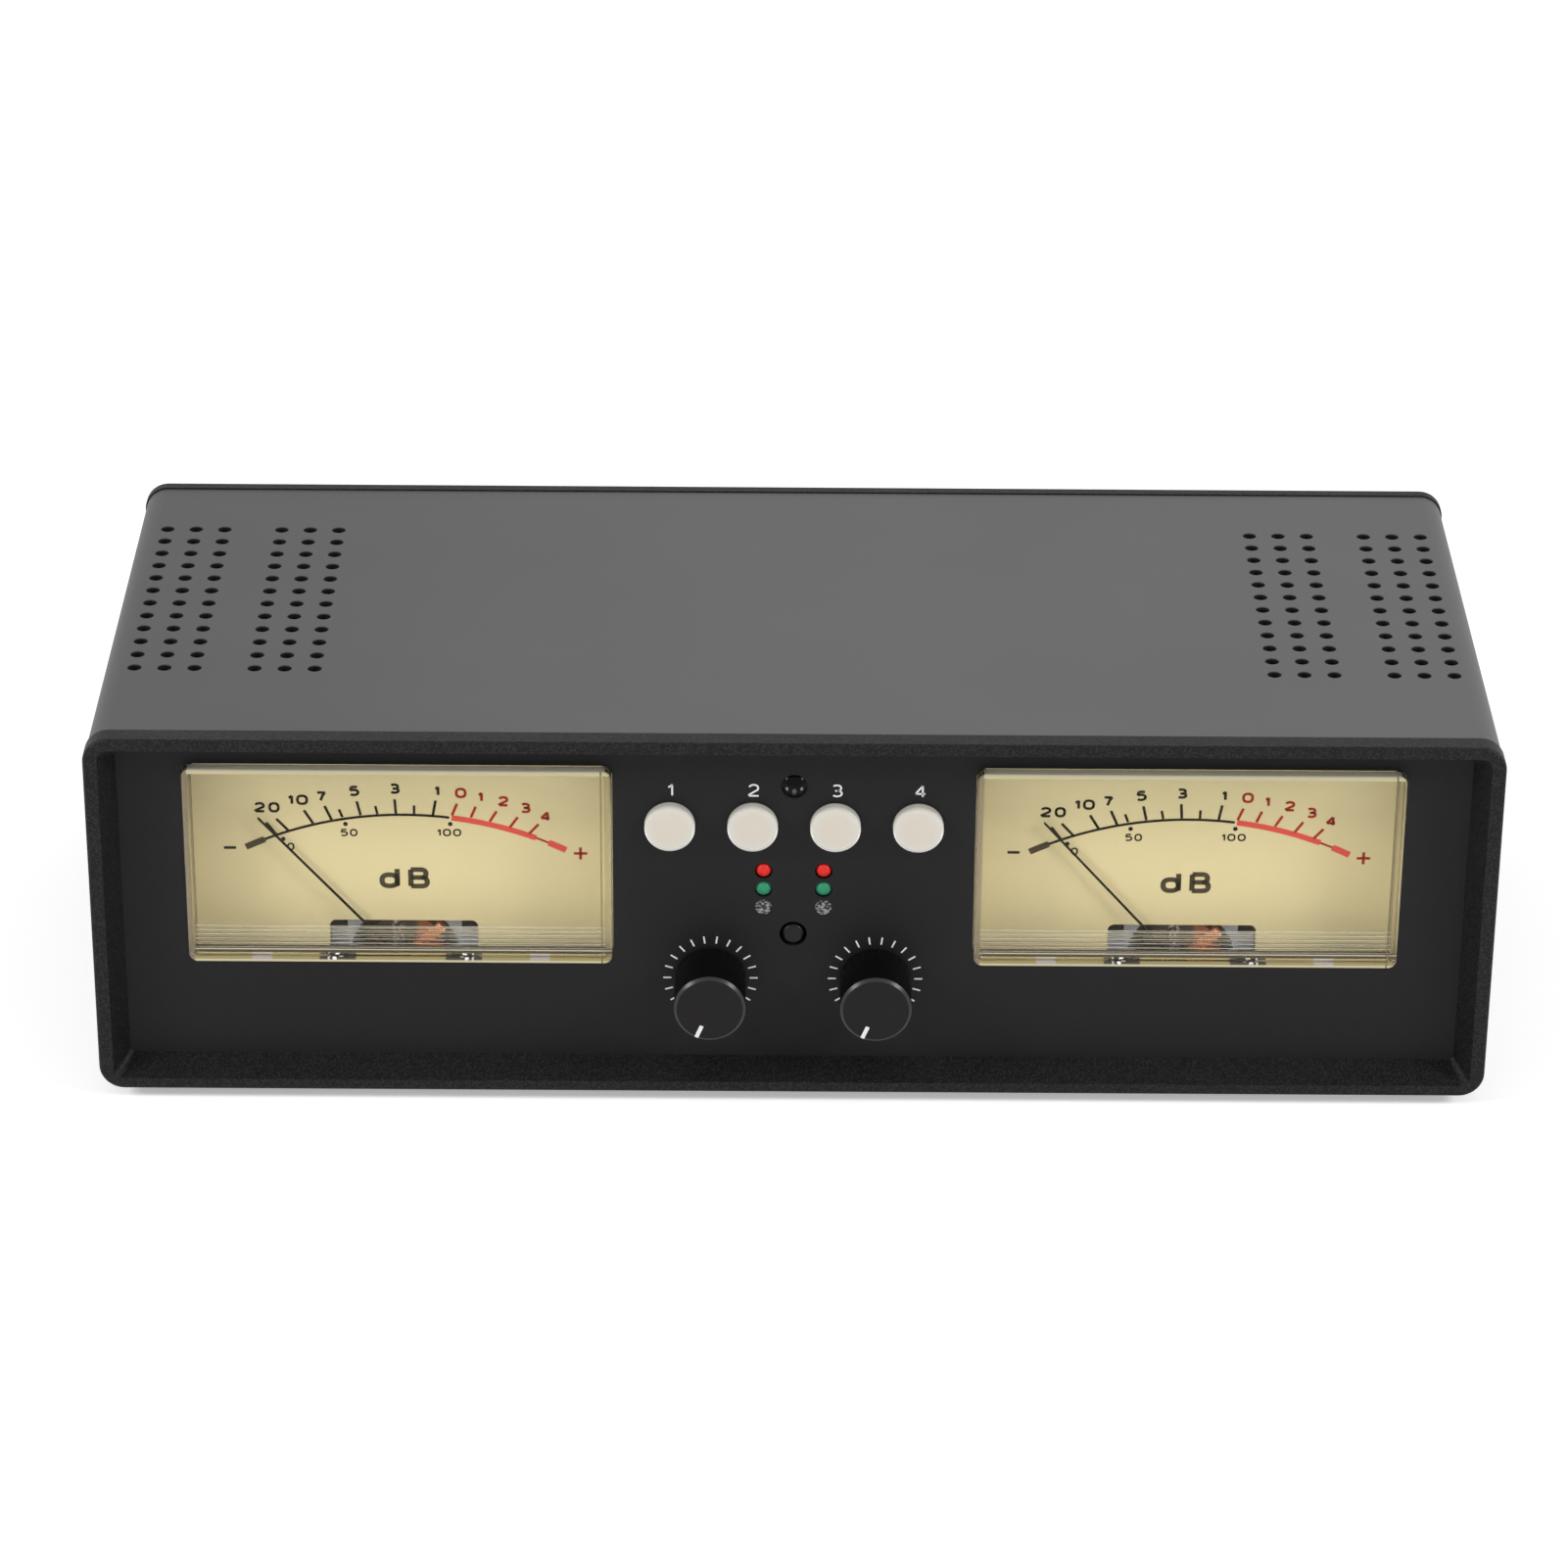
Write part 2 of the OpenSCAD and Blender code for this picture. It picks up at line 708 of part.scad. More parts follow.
// One flute across the inside of the lens: the part of a thick bar that stands out of the wall
module flute() {
    flute_r = (flute_w * flute_w / 4 + flute_h * flute_h) / (2 * flute_h);
    flute_l = opening_w + lens_wall;
    intersection() {
        translate([-flute_l / 2, flute_h - flute_r, 0]) rotate([0, 90, 0]) cylinder(r = flute_r, h = flute_l);
        slab(flute_l + cut, flute_w + 2 * thin, -flute_h / 2, flute_h + cut);
    }
}

module meter_housing(side) {
    inner_w = housing_w - 2 * housing_wall;
    inner_h = housing_h - 2 * housing_wall;
    ledge_y = dial_y + dial_t;
    ledge_t = 3;
    ledge_short = 4;
    ledge_h = housing_top - meter_z - ledge_short;
    color("#e6e2d4") in_place() difference() {
        union() {
            translate([side * meter_x, flange_back, housing_z]) difference() {
                upright(housing_back - flange_back) rounded_rect(housing_w, housing_h, housing_r);
                translate([0, -cut, 0]) upright(housing_back - flange_back - housing_wall + cut)
                    rounded_rect(inner_w, inner_h, housing_r - housing_wall + 0.3);
            }
            translate([side * meter_x, 0, (meter_z + housing_top) / 2]) for (x = SIDES) {
                translate([x * (inner_w - ledge_w + thin) / 2, 0, 0])
                    slab(ledge_w + thin, ledge_h, ledge_y, ledge_y + ledge_t);
            }
            dial_clips(side);
            at_pivot(side) {
                for (x = SIDES) {
                    translate([x * leg_x, 0, 0]) rod(leg_d, yoke_back, housing_back);
                }
                rod(rear_post_d, rear_jewel, housing_back);
            }
        }
        at_pivot(side) {
            for (x = SIDES) {
                translate([x * leg_x, 0, 0])
                    rod(leg_screw_d + 2 * running, yoke_back - cut, leg_screw_end + clear);
            }
            rod(jewel_d + 2 * running, rear_jewel - cut, housing_back + cut);
        }
    }
}

// Two lugs on the floor of a housing, which keep the foot of the dial from tipping forwards
module dial_clips(side) {
    clip_w = 3.6;
    clip_t = 1.6;
    aside = 13;
    below = 3;
    clip_x = lens_w / 2 - aside;
    clip_z = housing_bottom + housing_wall - thin;
    clip_top = lens_foot - below;
    for (x = SIDES) {
        translate([side * meter_x + x * clip_x - clip_w / 2, dial_y - clear - clip_t, clip_z])
            cube([clip_w, clip_t, clip_top - clip_z]);
    }
}

module dial_plate(side) {
    dial_w = housing_w - 2 * housing_wall - 2 * fit;
    dial_top = housing_top - housing_wall - fit;
    dial_bottom = housing_bottom + housing_wall + fit;
    color("#d8cc9b") in_place() difference() {
        translate([side * meter_x - dial_w / 2, dial_y, dial_bottom])
            cube([dial_w, dial_t, dial_top - dial_bottom]);
        at_pivot(side) translate([0, dial_y - cut, 0]) upright(dial_t + 2 * cut) notch_outline();
    }
}

// Cut-out of the dial for the movement, with round upper corners, open at the foot
module notch_outline() {
    r = 1.2;
    translate([r - notch_half_w, -pivot_z]) square([2 * (notch_half_w - r), pivot_z + notch_top]);
    translate([-notch_half_w, -pivot_z]) square([2 * notch_half_w, pivot_z + notch_top - r]);
    for (x = SIDES) {
        translate([x * (notch_half_w - r), notch_top - r]) circle(r);
    }
}

module needle(side) {
    tail = 7.4;
    weight_w = 3;
    weight_h = 1.4;
    tip_w = needle_w * 0.75;
    color("#141414") in_place() at_needle(side) difference() {
        union() {
            translate([0, needle_y, 0]) upright(needle_t) polygon([
                [-needle_w / 2, 0], [-tip_w / 2, needle_len - tip_w], [0, needle_len],
                [tip_w / 2, needle_len - tip_w], [needle_w / 2, 0], [needle_w, -tail],
                [-needle_w, -tail]]);
            translate([0, 0, -tail]) slab(weight_w, weight_h, needle_y, needle_y + needle_t);
            rod(hub_d, hub_front, hub_back);
        }
        rod(staff_d, hub_front - cut, hub_back + cut);
    }
}

// Rectangular winding that stands round the magnet, its front and back bars across the pivot
module moving_coil(side) {
    color("#b5653a") in_place() at_needle(side) translate([0, 0, -coil_w / 2]) linear_extrude(coil_w)
        difference() {
            translate([0, (coil_y + coil_back) / 2])
                rounded_rect(2 * coil_outer_r, coil_back - coil_y, coil_t);
            translate([0, (coil_y + coil_back) / 2])
                rounded_rect(2 * coil_inner_r, coil_back - coil_y - 2 * coil_t, coil_t / 2);
        }
}

module pivot_staffs(side) {
    rear_end = coil_back + rear_staff;
    color("#c9c9cc") in_place() at_pivot(side) {
        rod(staff_d, hub_front, coil_y);
        rod(pivot_d, jewel_back - jewel_seat + 0.1, hub_front + thin);
        rod(staff_d, coil_back, rear_end);
        rod(pivot_d, rear_end - thin, rear_jewel + jewel_seat - 0.1);
    }
}

module magnet(side) {
    dish_d = 4.2;
    dish_deep = 0.4;
    color("#3a3a3e") in_place() at_pivot(side) difference() {
        rod(magnet_d, yoke_y, yoke_back);
        for (y = [yoke_y, yoke_back]) {
            rod(dish_d, y - dish_deep, y + dish_deep);
        }
    }
}

// Soft-iron block with the round gap for the coil, a foot that carries the magnet, and a slot
// on each side of the top
module yoke(side) {
    foot_w = 5;
    slot_w = 3;
    slot_h = 2.2;
    slot_z = 6.4;
    slot_x = (yoke_bore_r + yoke_half_w) / 2 + 0.3;
    color("#8d949c") in_place() at_pivot(side) difference() {
        union() {
            difference() {
                translate([-yoke_half_w, yoke_y, -yoke_bottom])
                    cube([2 * yoke_half_w, magnet_len, yoke_top + yoke_bottom]);
                rod(2 * yoke_bore_r, yoke_y - cut, yoke_back + cut);
            }
            translate([-foot_w / 2, yoke_y, -yoke_bore_r - 0.3]) cube([foot_w, magnet_len, yoke_bore_r / 2]);
        }
        rod(magnet_d, yoke_y - cut, yoke_back + cut);
        for (x = SIDES) {
            translate([x * leg_x, 0, 0]) rod(leg_screw_d + 2 * running, yoke_y - cut, yoke_back + cut);
            translate([x * slot_x, 0, slot_z]) slab(slot_w, slot_h, yoke_y - cut, yoke_y + slot_w);
        }
    }
}

module bridge(side) {
    bridge_r = 1;
    past_leg = 1.5;
    bridge_w = 2 * (leg_x + leg_d / 2 + past_leg);
    color("#6f6a60") in_place() at_pivot(side) difference() {
        union() {
            translate([0, bridge_y, 0]) upright(bridge_t) rounded_rect(bridge_w, bridge_h, bridge_r);
            for (x = SIDES) {
                translate([x * leg_x, 0, 0]) rod(leg_d, bridge_y, yoke_y);
            }
        }
        rod(jewel_d + 2 * running, bridge_y - cut, bridge_y + bridge_t + cut);
        for (x = SIDES) {
            translate([x * leg_x, 0, 0]) rod(leg_screw_d + 2 * running, bridge_y - cut, yoke_y + cut);
        }
    }
}

// Flat spiral in X and Z, from radius spring_r1 to spring_r2, ending straight below the pivot
function spiral_point(k, steps, r_off) =
    let (a = 360 * spring_turns * k / steps - 90, r = spring_r1 + (spring_r2 - spring_r1) * k / steps + r_off)
    [r * cos(a), r * sin(a)];

module spiral() {
    steps = 24 * spring_turns;
    inner = [for (k = [0 : steps]) spiral_point(k, steps, 0)];
    outer = [for (k = [steps : -1 : 0]) spiral_point(k, steps, spring_t)];
    polygon(concat(inner, outer));
}

// Front and rear hairsprings, each held at its outer end by a stud on the magnet
module hairsprings(side) {
    stud_r = spring_r2 + spring_t / 2;
    front_y = hub_back + 0.1;
    rear_y = coil_back + 0.5;
    color("#b8a24a") in_place() at_pivot(side) {
        translate([0, front_y, 0]) upright(spring_t) spiral();
        translate([0, rear_y, 0]) upright(spring_t) spiral();
        translate([0, 0, -stud_r]) {
            rod(stud_d, front_y, yoke_y);
            rod(stud_d, yoke_back, rear_y + spring_t);
        }
    }
}

module movement_screws() {
    head_d = 3.2;
    head_t = 0.8;
    color("#d0d0d2") in_place() for (side = SIDES, x = SIDES) {
        at_pivot(side) translate([x * leg_x, 0, 0]) difference() {
            union() {
                rod(head_d, bridge_y - head_t, bridge_y);
                rod(leg_screw_d, bridge_y - thin, leg_screw_end);
            }
            slab(head_d + cut, 0.5, bridge_y - head_t - cut, bridge_y - head_t / 2);
        }
    }
}

// Screws with a jewel cup at the tip, one in each bridge and one in each housing
module jewel_screws() {
    color("#c8b070") in_place() for (side = SIDES) {
        at_pivot(side) {
            jewel_screw(bridge_y, jewel_back);
            mirror([0, 1, 0]) jewel_screw(-housing_back, -rear_jewel);
        }
    }
}

module jewel_screw(seat, tip) {
    difference() {
        union() {
            rod(jewel_head_d, seat - jewel_head_t, seat);
            rod(jewel_d, seat - thin, tip);
        }
        rod(pivot_d + 2 * running, tip - jewel_seat, tip + cut);
        slab(jewel_head_d + cut, 0.5, seat - jewel_head_t - cut, seat - jewel_head_t / 2);
    }
}

// A strip under the top of each housing, behind the dial, with four lamps on its underside
module backlights() {
    bar_in = 8;
    bar_w = 6;
    bar_t = 1;
    lamp_w = 3.5;
    lamp_h = 1.7;
    bar_len = lens_w - 2 * bar_in;
    bar_y = dial_y + dial_t + lamp_w;
    bar_z = housing_top - housing_wall - bar_t;
    color("#e8e8e0") in_place() for (side = SIDES) {
        translate([side * meter_x, bar_y, bar_z]) {
            translate([-bar_len / 2, 0, 0]) cube([bar_len, bar_w, bar_t]);
            for (n = [-1.5 : 1.5]) {
                translate([n * bar_len / 4 - lamp_w / 2, (bar_w - lamp_w) / 2, thin - lamp_h])
                    cube([lamp_w, lamp_w, lamp_h]);
            }
        }
    }
}

// Flat cable from the back of each meter down to the main board
module meter_leads() {
    lead_t = 0.8;
    lead_x = meter_x - lead_w;
    top = main_top + 1.5 * lead_w;
    far = main_front + main_gap / 2;
    color("#9a9a9a") in_place() for (side = SIDES) {
        translate([side * lead_x + lead_w / 2, 0, 0]) rotate([0, -90, 0]) linear_extrude(lead_w)
            polygon([[top, housing_back], [top, far], [main_top, far], [main_top, far - lead_t],
                [top - lead_t, far - lead_t], [top - lead_t, housing_back]]);
    }
}

// ---- Buttons and lamps ----

module button_cap(n) {
    rim = 0.7;
    stem_d = 3;
    cap_back = panel_back + clear + cap_flange_t;
    color("#efe9dc") in_place() translate([(n - 2.5) * button_pitch, 0, button_z]) {
        translate([0, recess_d - button_out, 0])
            soft_puck(button_d / 2, cap_back - recess_d + button_out, rim);
        rod(cap_flange_d, cap_back - cap_flange_t, cap_back);
        rod(stem_d, cap_back - thin, switch_y - plunger_out);
    }
}

module switch_plunger(n) {
    color("#3b3b3b") in_place() translate([(n - 2.5) * button_pitch, 0, button_z])
        rod(plunger_d, switch_y - plunger_out, switch_y - plunger_out + plunger_len);
}

// Four push switches behind the selector buttons and one behind the mode button
module push_switches() {
    deep = plunger_len - plunger_out + button_travel + clear;
    color("#55524c") in_place() {
        at_buttons() push_switch(deep);
        translate([0, 0, mode_z]) push_switch(deep);
    }
}

module push_switch(deep) {
    difference() {
        slab(switch_w, switch_w, switch_y, board_front);
        rod(plunger_d + 2 * fit, switch_y - cut, switch_y + deep);
    }
}

module mode_button() {
    proud = 0.2;
    rim = 0.5;
    end = switch_y + plunger_len - plunger_out;
    color("#1c1c1c") in_place() translate([0, recess_d - proud, mode_z])
        soft_puck(mode_d / 2, end - recess_d + proud, rim);
}

// One square wire leg, from depth y1 back to the control board
module leg(x, z, y1) {
    leg_w = 0.5;
    translate([x, 0, z]) slab(leg_w, leg_w, y1 - thin, board_front);
}

// The receiver behind the dark dome, with three legs
module infrared_eye() {
    proud = 1;
    dome_r = 0.7 * eye_d;
    body_w = 6;
    body_y = panel_back + clear;
    body_back = board_front - 2.4;
    pitch = 2;
    color("#0e0e10") in_place() translate([0, 0, eye_z]) {
        domed_rod(eye_d, dome_r, recess_d - proud, body_y);
        slab(body_w, body_w, body_y - thin, body_back);
        for (n = [-1 : 1]) {
            leg(n * pitch, 0, body_back);
        }
    }
}

// A 3 mm lamp: dome, barrel, collar and two legs down to the board
module lamp() {
    proud = 0.3;
    dome_r = 0.54 * lamp_d;
    collar_y = panel_back + 1;
    collar_back = collar_y + 1;
    domed_rod(lamp_d, dome_r, recess_d - proud, collar_back);
    rod(lamp_d + 0.5, collar_y, collar_back);
    for (z = SIDES) {
        leg(0, z * 0.9, collar_back);
    }
}

module lamp_pair(n) {
    in_place() for (side = SIDES) {
        translate([side * lamp_x, 0, lamp_z - n * lamp_pitch]) lamp();
    }
}

module red_lamps() {
    color("#d8251c") lamp_pair(0);
}

module green_lamps() {
    color("#1f9a63") lamp_pair(1);
}

// Electret capsules: a grey gauze in the panel's hole, the can behind it and two legs
module microphones() {
    sunk = 0.2;
    can_d = 3.4;
    can_t = 3;
    can_y = panel_back + 3 * clear;
    can_back = can_y + can_t;
    color("#8f8f8f") in_place() for (side = SIDES) {
        translate([side * lamp_x, 0, lamp_z - 2 * lamp_pitch]) {
            rod(lamp_d, recess_d + sunk, can_y);
            rod(can_d, can_y - thin, can_back);
            for (z = SIDES) {
                leg(0, z * 0.9, can_back);
            }
        }
    }
}

// ---- Knobs ----

module at_knob(side) {
    translate([side * knob_x, 0, knob_z]) children();
}

// Knob with a chamfered rim, a flat in its bore and room for the bush nut in its skirt
module knob(side) {
    chamfer = 0.5;
    skirt = recess_d - knob_gap;
    nut_room = nut_w / cos(30) + 0.6;
    nut_front = bush_front - 3 * clear;
    color("#1d1d1f") in_place() at_knob(side) difference() {
        translate([0, knob_face, 0]) rotate([-90, 0, 0]) rotate_extrude() polygon([
            [0, 0], [knob_d / 2 - chamfer, 0], [knob_d / 2, chamfer], [knob_d / 2, knob_len], [0, knob_len]]);
        rod(nut_room, nut_front, skirt + cut);
        rotate([0, flat_turn, 0]) difference() {
            rod(shaft_d + 2 * running, shaft_front - clear, skirt);
            translate([0, 0, shaft_d / 2 - flat_deep])
                slab_above(shaft_d, shaft_front - cut, nut_front - clear);
        }
    }
}

// A box above z = 0, from depth y1 to depth y2
module slab_above(w, y1, y2) {
    translate([-w / 2, y1, 0]) cube([w, y2 - y1, w]);
}

module knob_shaft(side) {
    flat_z = shaft_d / 2 - flat_deep - running;
    color("#b9b9bc") in_place() at_knob(side) rotate([0, flat_turn, 0]) difference() {
        rod(shaft_d, shaft_front, board_front - shaft_end);
        translate([0, 0, flat_z]) slab_above(shaft_d, shaft_front - cut, bush_front - clear);
    }
}

module level_pot(side) {
    color("#4d6b57") in_place() at_knob(side) difference() {
        union() {
            slab(pot_w, pot_h, pot_y, board_front);
            rod(bush_d, bush_front, pot_y + thin);
        }
        rod(shaft_d + 2 * running, bush_front - cut, board_front - shaft_end + clear);
    }
}

module pot_nuts() {
    color("#c4c4c6") in_place() for (side = SIDES) {
        at_knob(side) difference() {
            translate([0, recess_d - nut_t, 0]) rotate([-90, 0, 0])
                cylinder(d = nut_w / cos(30), h = nut_t, $fn = 6);
            rod(bush_d + 2 * running, recess_d - nut_t - cut, recess_d + cut);
        }
    }
}

// ---- Boards and the rear ----

// Places of the standoffs that carry the control board, and of those under the main board
module at_control_standoffs() {
    for (x = SIDES, z = [control_bottom + control_inset, control_top - control_inset]) {
        translate([x * (control_w / 2 - control_inset), panel_back, z]) children();
    }
}

module at_main_standoffs() {
    for (x = SIDES, y = [main_front + main_inset, main_back - rear_row]) {
        translate([x * (main_w / 2 - main_inset), y, floor_z]) rotate([90, 0, 0]) children();
    }
}

module control_board() {
    color("#1f5a3a") in_place() difference() {
        translate([-control_w / 2, board_front, control_bottom])
            cube([control_w, board_t, control_top - control_bottom]);
        at_control_standoffs() rod(screw_bore, 0, board_gap + board_t + cut);
    }
}

module main_board() {
    color("#1f5a3a") in_place() difference() {
        translate([-main_w / 2, main_front, main_z]) cube([main_w, main_back - main_front, board_t]);
        at_main_standoffs() rod(screw_bore, standoff_h - cut, standoff_h + board_t + cut);
    }
}

module standoff() {
    difference() {
        rotate([-90, 0, 0]) cylinder(d = standoff_w / cos(30), h = standoff_h, $fn = 6);
        rod(screw_bore, 1, standoff_h + cut);
    }
}

module board_screw() {
    head_d = 5;
    head_t = 1.8;
    grip = 4;
    seat = standoff_h + board_t;
    rod(head_d, seat, seat + head_t);
    rod(screw_d, standoff_h - grip, seat + thin);
}

module board_standoffs() {
    color("#c9ab5c") in_place() {
        at_control_standoffs() standoff();
        at_main_standoffs() standoff();
    }
}

module board_screws() {
    color("#b0b0b2") in_place() {
        at_control_standoffs() board_screw();
        at_main_standoffs() board_screw();
    }
}

// Places of the phono sockets: pairs in a row, a little to the left, two sockets to a pair
module at_phono_pairs() {
    aside = 15.6;
    for (n = [0 : phono_pairs - 1]) {
        translate([(n - (phono_pairs - 1) / 2) * phono_pitch - aside, 0, phono_z]) children();
    }
}

module at_phono() {
    at_phono_pairs() for (n = [0, 1]) {
        translate([0, 0, n * phono_rise]) children();
    }
}

module phono_blocks() {
    block_h = 2 * phono_room + phono_rise;
    color("#232323") in_place() at_phono_pairs() translate([-block_w / 2, rear_inner - block_d,
        main_top - phono_z]) cube([block_w, block_d, block_h]);
}

module phono_sockets() {
    face = case_d - rear_recess;
    color("#cfc6a8") in_place() at_phono() difference() {
        rod(phono_d, rear_inner, face + phono_len);
        rod(phono_bore, rear_inner + 1, face + phono_len + cut);
    }
}

module power_socket() {
    face = case_d - rear_recess + 0.4;
    color("#1a1a1a") in_place() translate([power_x, 0, power_z]) {
        difference() {
            union() {
                slab(power_w, power_h, rear_inner - power_d, rear_inner);
                rod(power_nose_d, rear_inner - thin, face);
            }
            rod(power_bore, face - power_deep, face + cut);
        }
        rod(power_pin_d, face - power_deep - thin, face - 0.6);
    }
}

// Row of smoothing capacitors on the main board
module board_capacitors() {
    can_d = 10;
    can_h = 16;
    can_pitch = 30;
    color("#2b3a55") in_place() for (n = [-2 : 2]) {
        translate([n * can_pitch, main_front + 2 * can_d, main_top]) cylinder(d = can_d, h = can_h);
    }
}

// ---- The model ----

front_frame();
front_panel();
case_sleeve();
rear_frame();
rear_panel();
case_screws();
rubber_feet();
meter_lens(-1);  // left_meter_lens
meter_lens(1);  // right_meter_lens
meter_housing(-1);  // left_meter_housing
meter_housing(1);  // right_meter_housing
dial_plate(-1);  // left_dial_plate
dial_plate(1);  // right_dial_plate
needle(-1);  // left_needle
needle(1);  // right_needle
moving_coil(-1);  // left_moving_coil
moving_coil(1);  // right_moving_coil
pivot_staffs(-1);  // left_pivot_staffs
pivot_staffs(1);  // right_pivot_staffs
magnet(-1);  // left_magnet
magnet(1);  // right_magnet
yoke(-1);  // left_yoke
yoke(1);  // right_yoke
bridge(-1);  // left_bridge
bridge(1);  // right_bridge
hairsprings(-1);  // left_hairsprings
hairsprings(1);  // right_hairsprings
movement_screws();
jewel_screws();
backlights();
meter_leads();
button_cap(1);  // button_cap_1
button_cap(2);  // button_cap_2
button_cap(3);  // button_cap_3
button_cap(4);  // button_cap_4
switch_plunger(1);  // switch_plunger_1
switch_plunger(2);  // switch_plunger_2
switch_plunger(3);  // switch_plunger_3
switch_plunger(4);  // switch_plunger_4
push_switches();
mode_button();
infrared_eye();
red_lamps();
green_lamps();
microphones();
knob(-1);  // left_knob
knob(1);  // right_knob
knob_shaft(-1);  // left_knob_shaft
knob_shaft(1);  // right_knob_shaft
level_pot(-1);  // left_level_pot
level_pot(1);  // right_level_pot
pot_nuts();
control_board();
main_board();
board_standoffs();
board_screws();
phono_blocks();
phono_sockets();
power_socket();
board_capacitors();
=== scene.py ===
"""Looks of a low desk case with two needle level meters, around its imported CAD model.

Lengths in the tables are millimetres in the case's own frame: x to the right, y back from the
front of the front frame, z up from the underside of the case. at() turns them into metres in the
model's frame.
"""
import json
import math

import bmesh
import bpy
from mathutils import Matrix, Vector


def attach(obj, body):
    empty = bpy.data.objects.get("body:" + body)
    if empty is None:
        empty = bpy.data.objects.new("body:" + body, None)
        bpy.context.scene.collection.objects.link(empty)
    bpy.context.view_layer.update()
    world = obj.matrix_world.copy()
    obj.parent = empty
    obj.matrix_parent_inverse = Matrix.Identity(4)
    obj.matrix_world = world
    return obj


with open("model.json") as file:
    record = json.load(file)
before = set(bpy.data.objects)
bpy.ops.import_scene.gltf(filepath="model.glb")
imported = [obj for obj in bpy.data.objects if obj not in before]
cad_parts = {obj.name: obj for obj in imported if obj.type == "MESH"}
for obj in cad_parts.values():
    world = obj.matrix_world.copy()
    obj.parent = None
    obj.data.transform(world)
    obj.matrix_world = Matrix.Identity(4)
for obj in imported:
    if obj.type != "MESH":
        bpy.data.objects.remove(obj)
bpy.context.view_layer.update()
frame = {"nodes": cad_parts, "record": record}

MM = 0.001  # in metres
METRE = 1000.0  # in millimetres
CASE_SHIFT_Y = -55.3
CASE_SHIFT_Z = 2.2
INK_LIFT = 0.02
SAME_POINT = 1e-6

PANEL_Y = 5.2
DIAL_Y = 13.5
YOKE_Y = 15.6
METER_X = 70.25
LENS_HALF_W = 37.9
LENS_TOP_Z = 63.2
LENS_FOOT_Z = 24.6
LENS_WALL = 1.2
LENS_FRONT_Y = 3.0
LENS_INNER_Y = 4.5
METER_Z = (LENS_TOP_Z + LENS_FOOT_Z) / 2
KNOB_X = 14.8
KNOB_Z = 20.8
KNOB_FACE_Y = -6.6
BUTTON_Z = 51.65
BUTTON_PITCH = 14.7
EYE_Z = 59.5
LAMP_X = 5.35
LAMP_Z = 42.6
LAMP_PITCH = 3.7
SIDES = (("left", -1), ("right", 1))


def at(x, y, z):
    """A point of the case's frame, in metres in the model's frame."""
    return Vector((x * MM, (y + CASE_SHIFT_Y) * MM, (z + CASE_SHIFT_Z) * MM))


# ---- Camera and light ----

CAMERA_PLACE = (-0.0046, -0.9181, 0.5050)
CAMERA_PITCH = math.radians(27.028)
CAMERA_YAW = math.radians(0.182)
CAMERA_ROLL = math.radians(-0.442)
FOCAL_PX = 5631.55
IMAGE_PX = 1601
SENSOR_MM = 36.0


def make_camera():
    """The camera that took the photograph, worked out from the case's edges."""
    forward = Vector((math.sin(CAMERA_YAW) * math.cos(CAMERA_PITCH),
                      math.cos(CAMERA_YAW) * math.cos(CAMERA_PITCH),
                      -math.sin(CAMERA_PITCH)))
    right = Vector((math.cos(CAMERA_YAW), -math.sin(CAMERA_YAW), 0.0))
    down = forward.cross(right)
    cos_roll = math.cos(CAMERA_ROLL)
    sin_roll = math.sin(CAMERA_ROLL)
    image_x = right * cos_roll + down * sin_roll
    image_y = down * cos_roll - right * sin_roll
    data = bpy.data.cameras.new("camera")
    data.sensor_width = SENSOR_MM
    data.lens = FOCAL_PX * SENSOR_MM / IMAGE_PX
    data.clip_start = 0.05
    data.clip_end = 20.0
    camera = bpy.data.objects.new("camera", data)
    turn = Matrix((image_x, -image_y, -forward)).transposed().to_4x4()
    camera.matrix_world = Matrix.Translation(CAMERA_PLACE) @ turn
    bpy.context.scene.collection.objects.link(camera)
    bpy.context.scene.camera = camera


SOFTBOX_PLACE = (1.04, -0.5, 0.72)
SOFTBOX_AIM = (0.0, 0.0, 0.04)
SOFTBOX_SIZE = (0.34, 0.34)
SOFTBOX_WATTS = 8.0


def make_softbox(name, place):
    """An area light at a place, turned to the front of the case."""
    data = bpy.data.lights.new(name, "AREA")
    data.shape = "RECTANGLE"
    data.size, data.size_y = SOFTBOX_SIZE
    data.energy = SOFTBOX_WATTS
    light = bpy.data.objects.new(name, data)
    light.location = place
    light.rotation_euler = (Vector(SOFTBOX_AIM) - Vector(place)).to_track_quat("-Z", "Y").to_euler()
    bpy.context.scene.collection.objects.link(light)


WORLD_LIGHT = 0.5


def make_world():
    """Even light from all round, and a white background behind and in the reflections."""
    world = bpy.data.worlds.new("studio")
    world.use_nodes = True
    tree = world.node_tree
    background = tree.nodes["Background"]
    background.inputs["Color"].default_value = (1.0, 1.0, 1.0, 1.0)
    seen = seen_directly(tree)
    feed(tree, WORLD_LIGHT + (1.0 - WORLD_LIGHT) * seen, background.inputs["Strength"])
    bpy.context.scene.world = world


# ---- Shader arithmetic ----

def feed(tree, value, socket):
    """Links a value to a socket, or sets it there if it is a constant."""
    if isinstance(value, Shade):
        tree.links.new(value.socket, socket)
    elif isinstance(value, (tuple, list)) and len(socket.default_value) == 4:
        socket.default_value = (*value[:3], 1.0)
    else:
        socket.default_value = value


def add_node(tree, kind, output, settings, sockets):
    """A node of one kind: its settings first, then its sockets by name or place."""
    node = tree.nodes.new(kind)
    for key, value in settings.items():
        setattr(node, key, value)
    for key, value in sockets.items():
        feed(tree, value, node.inputs[key])
    return Shade(tree, node.outputs[output])


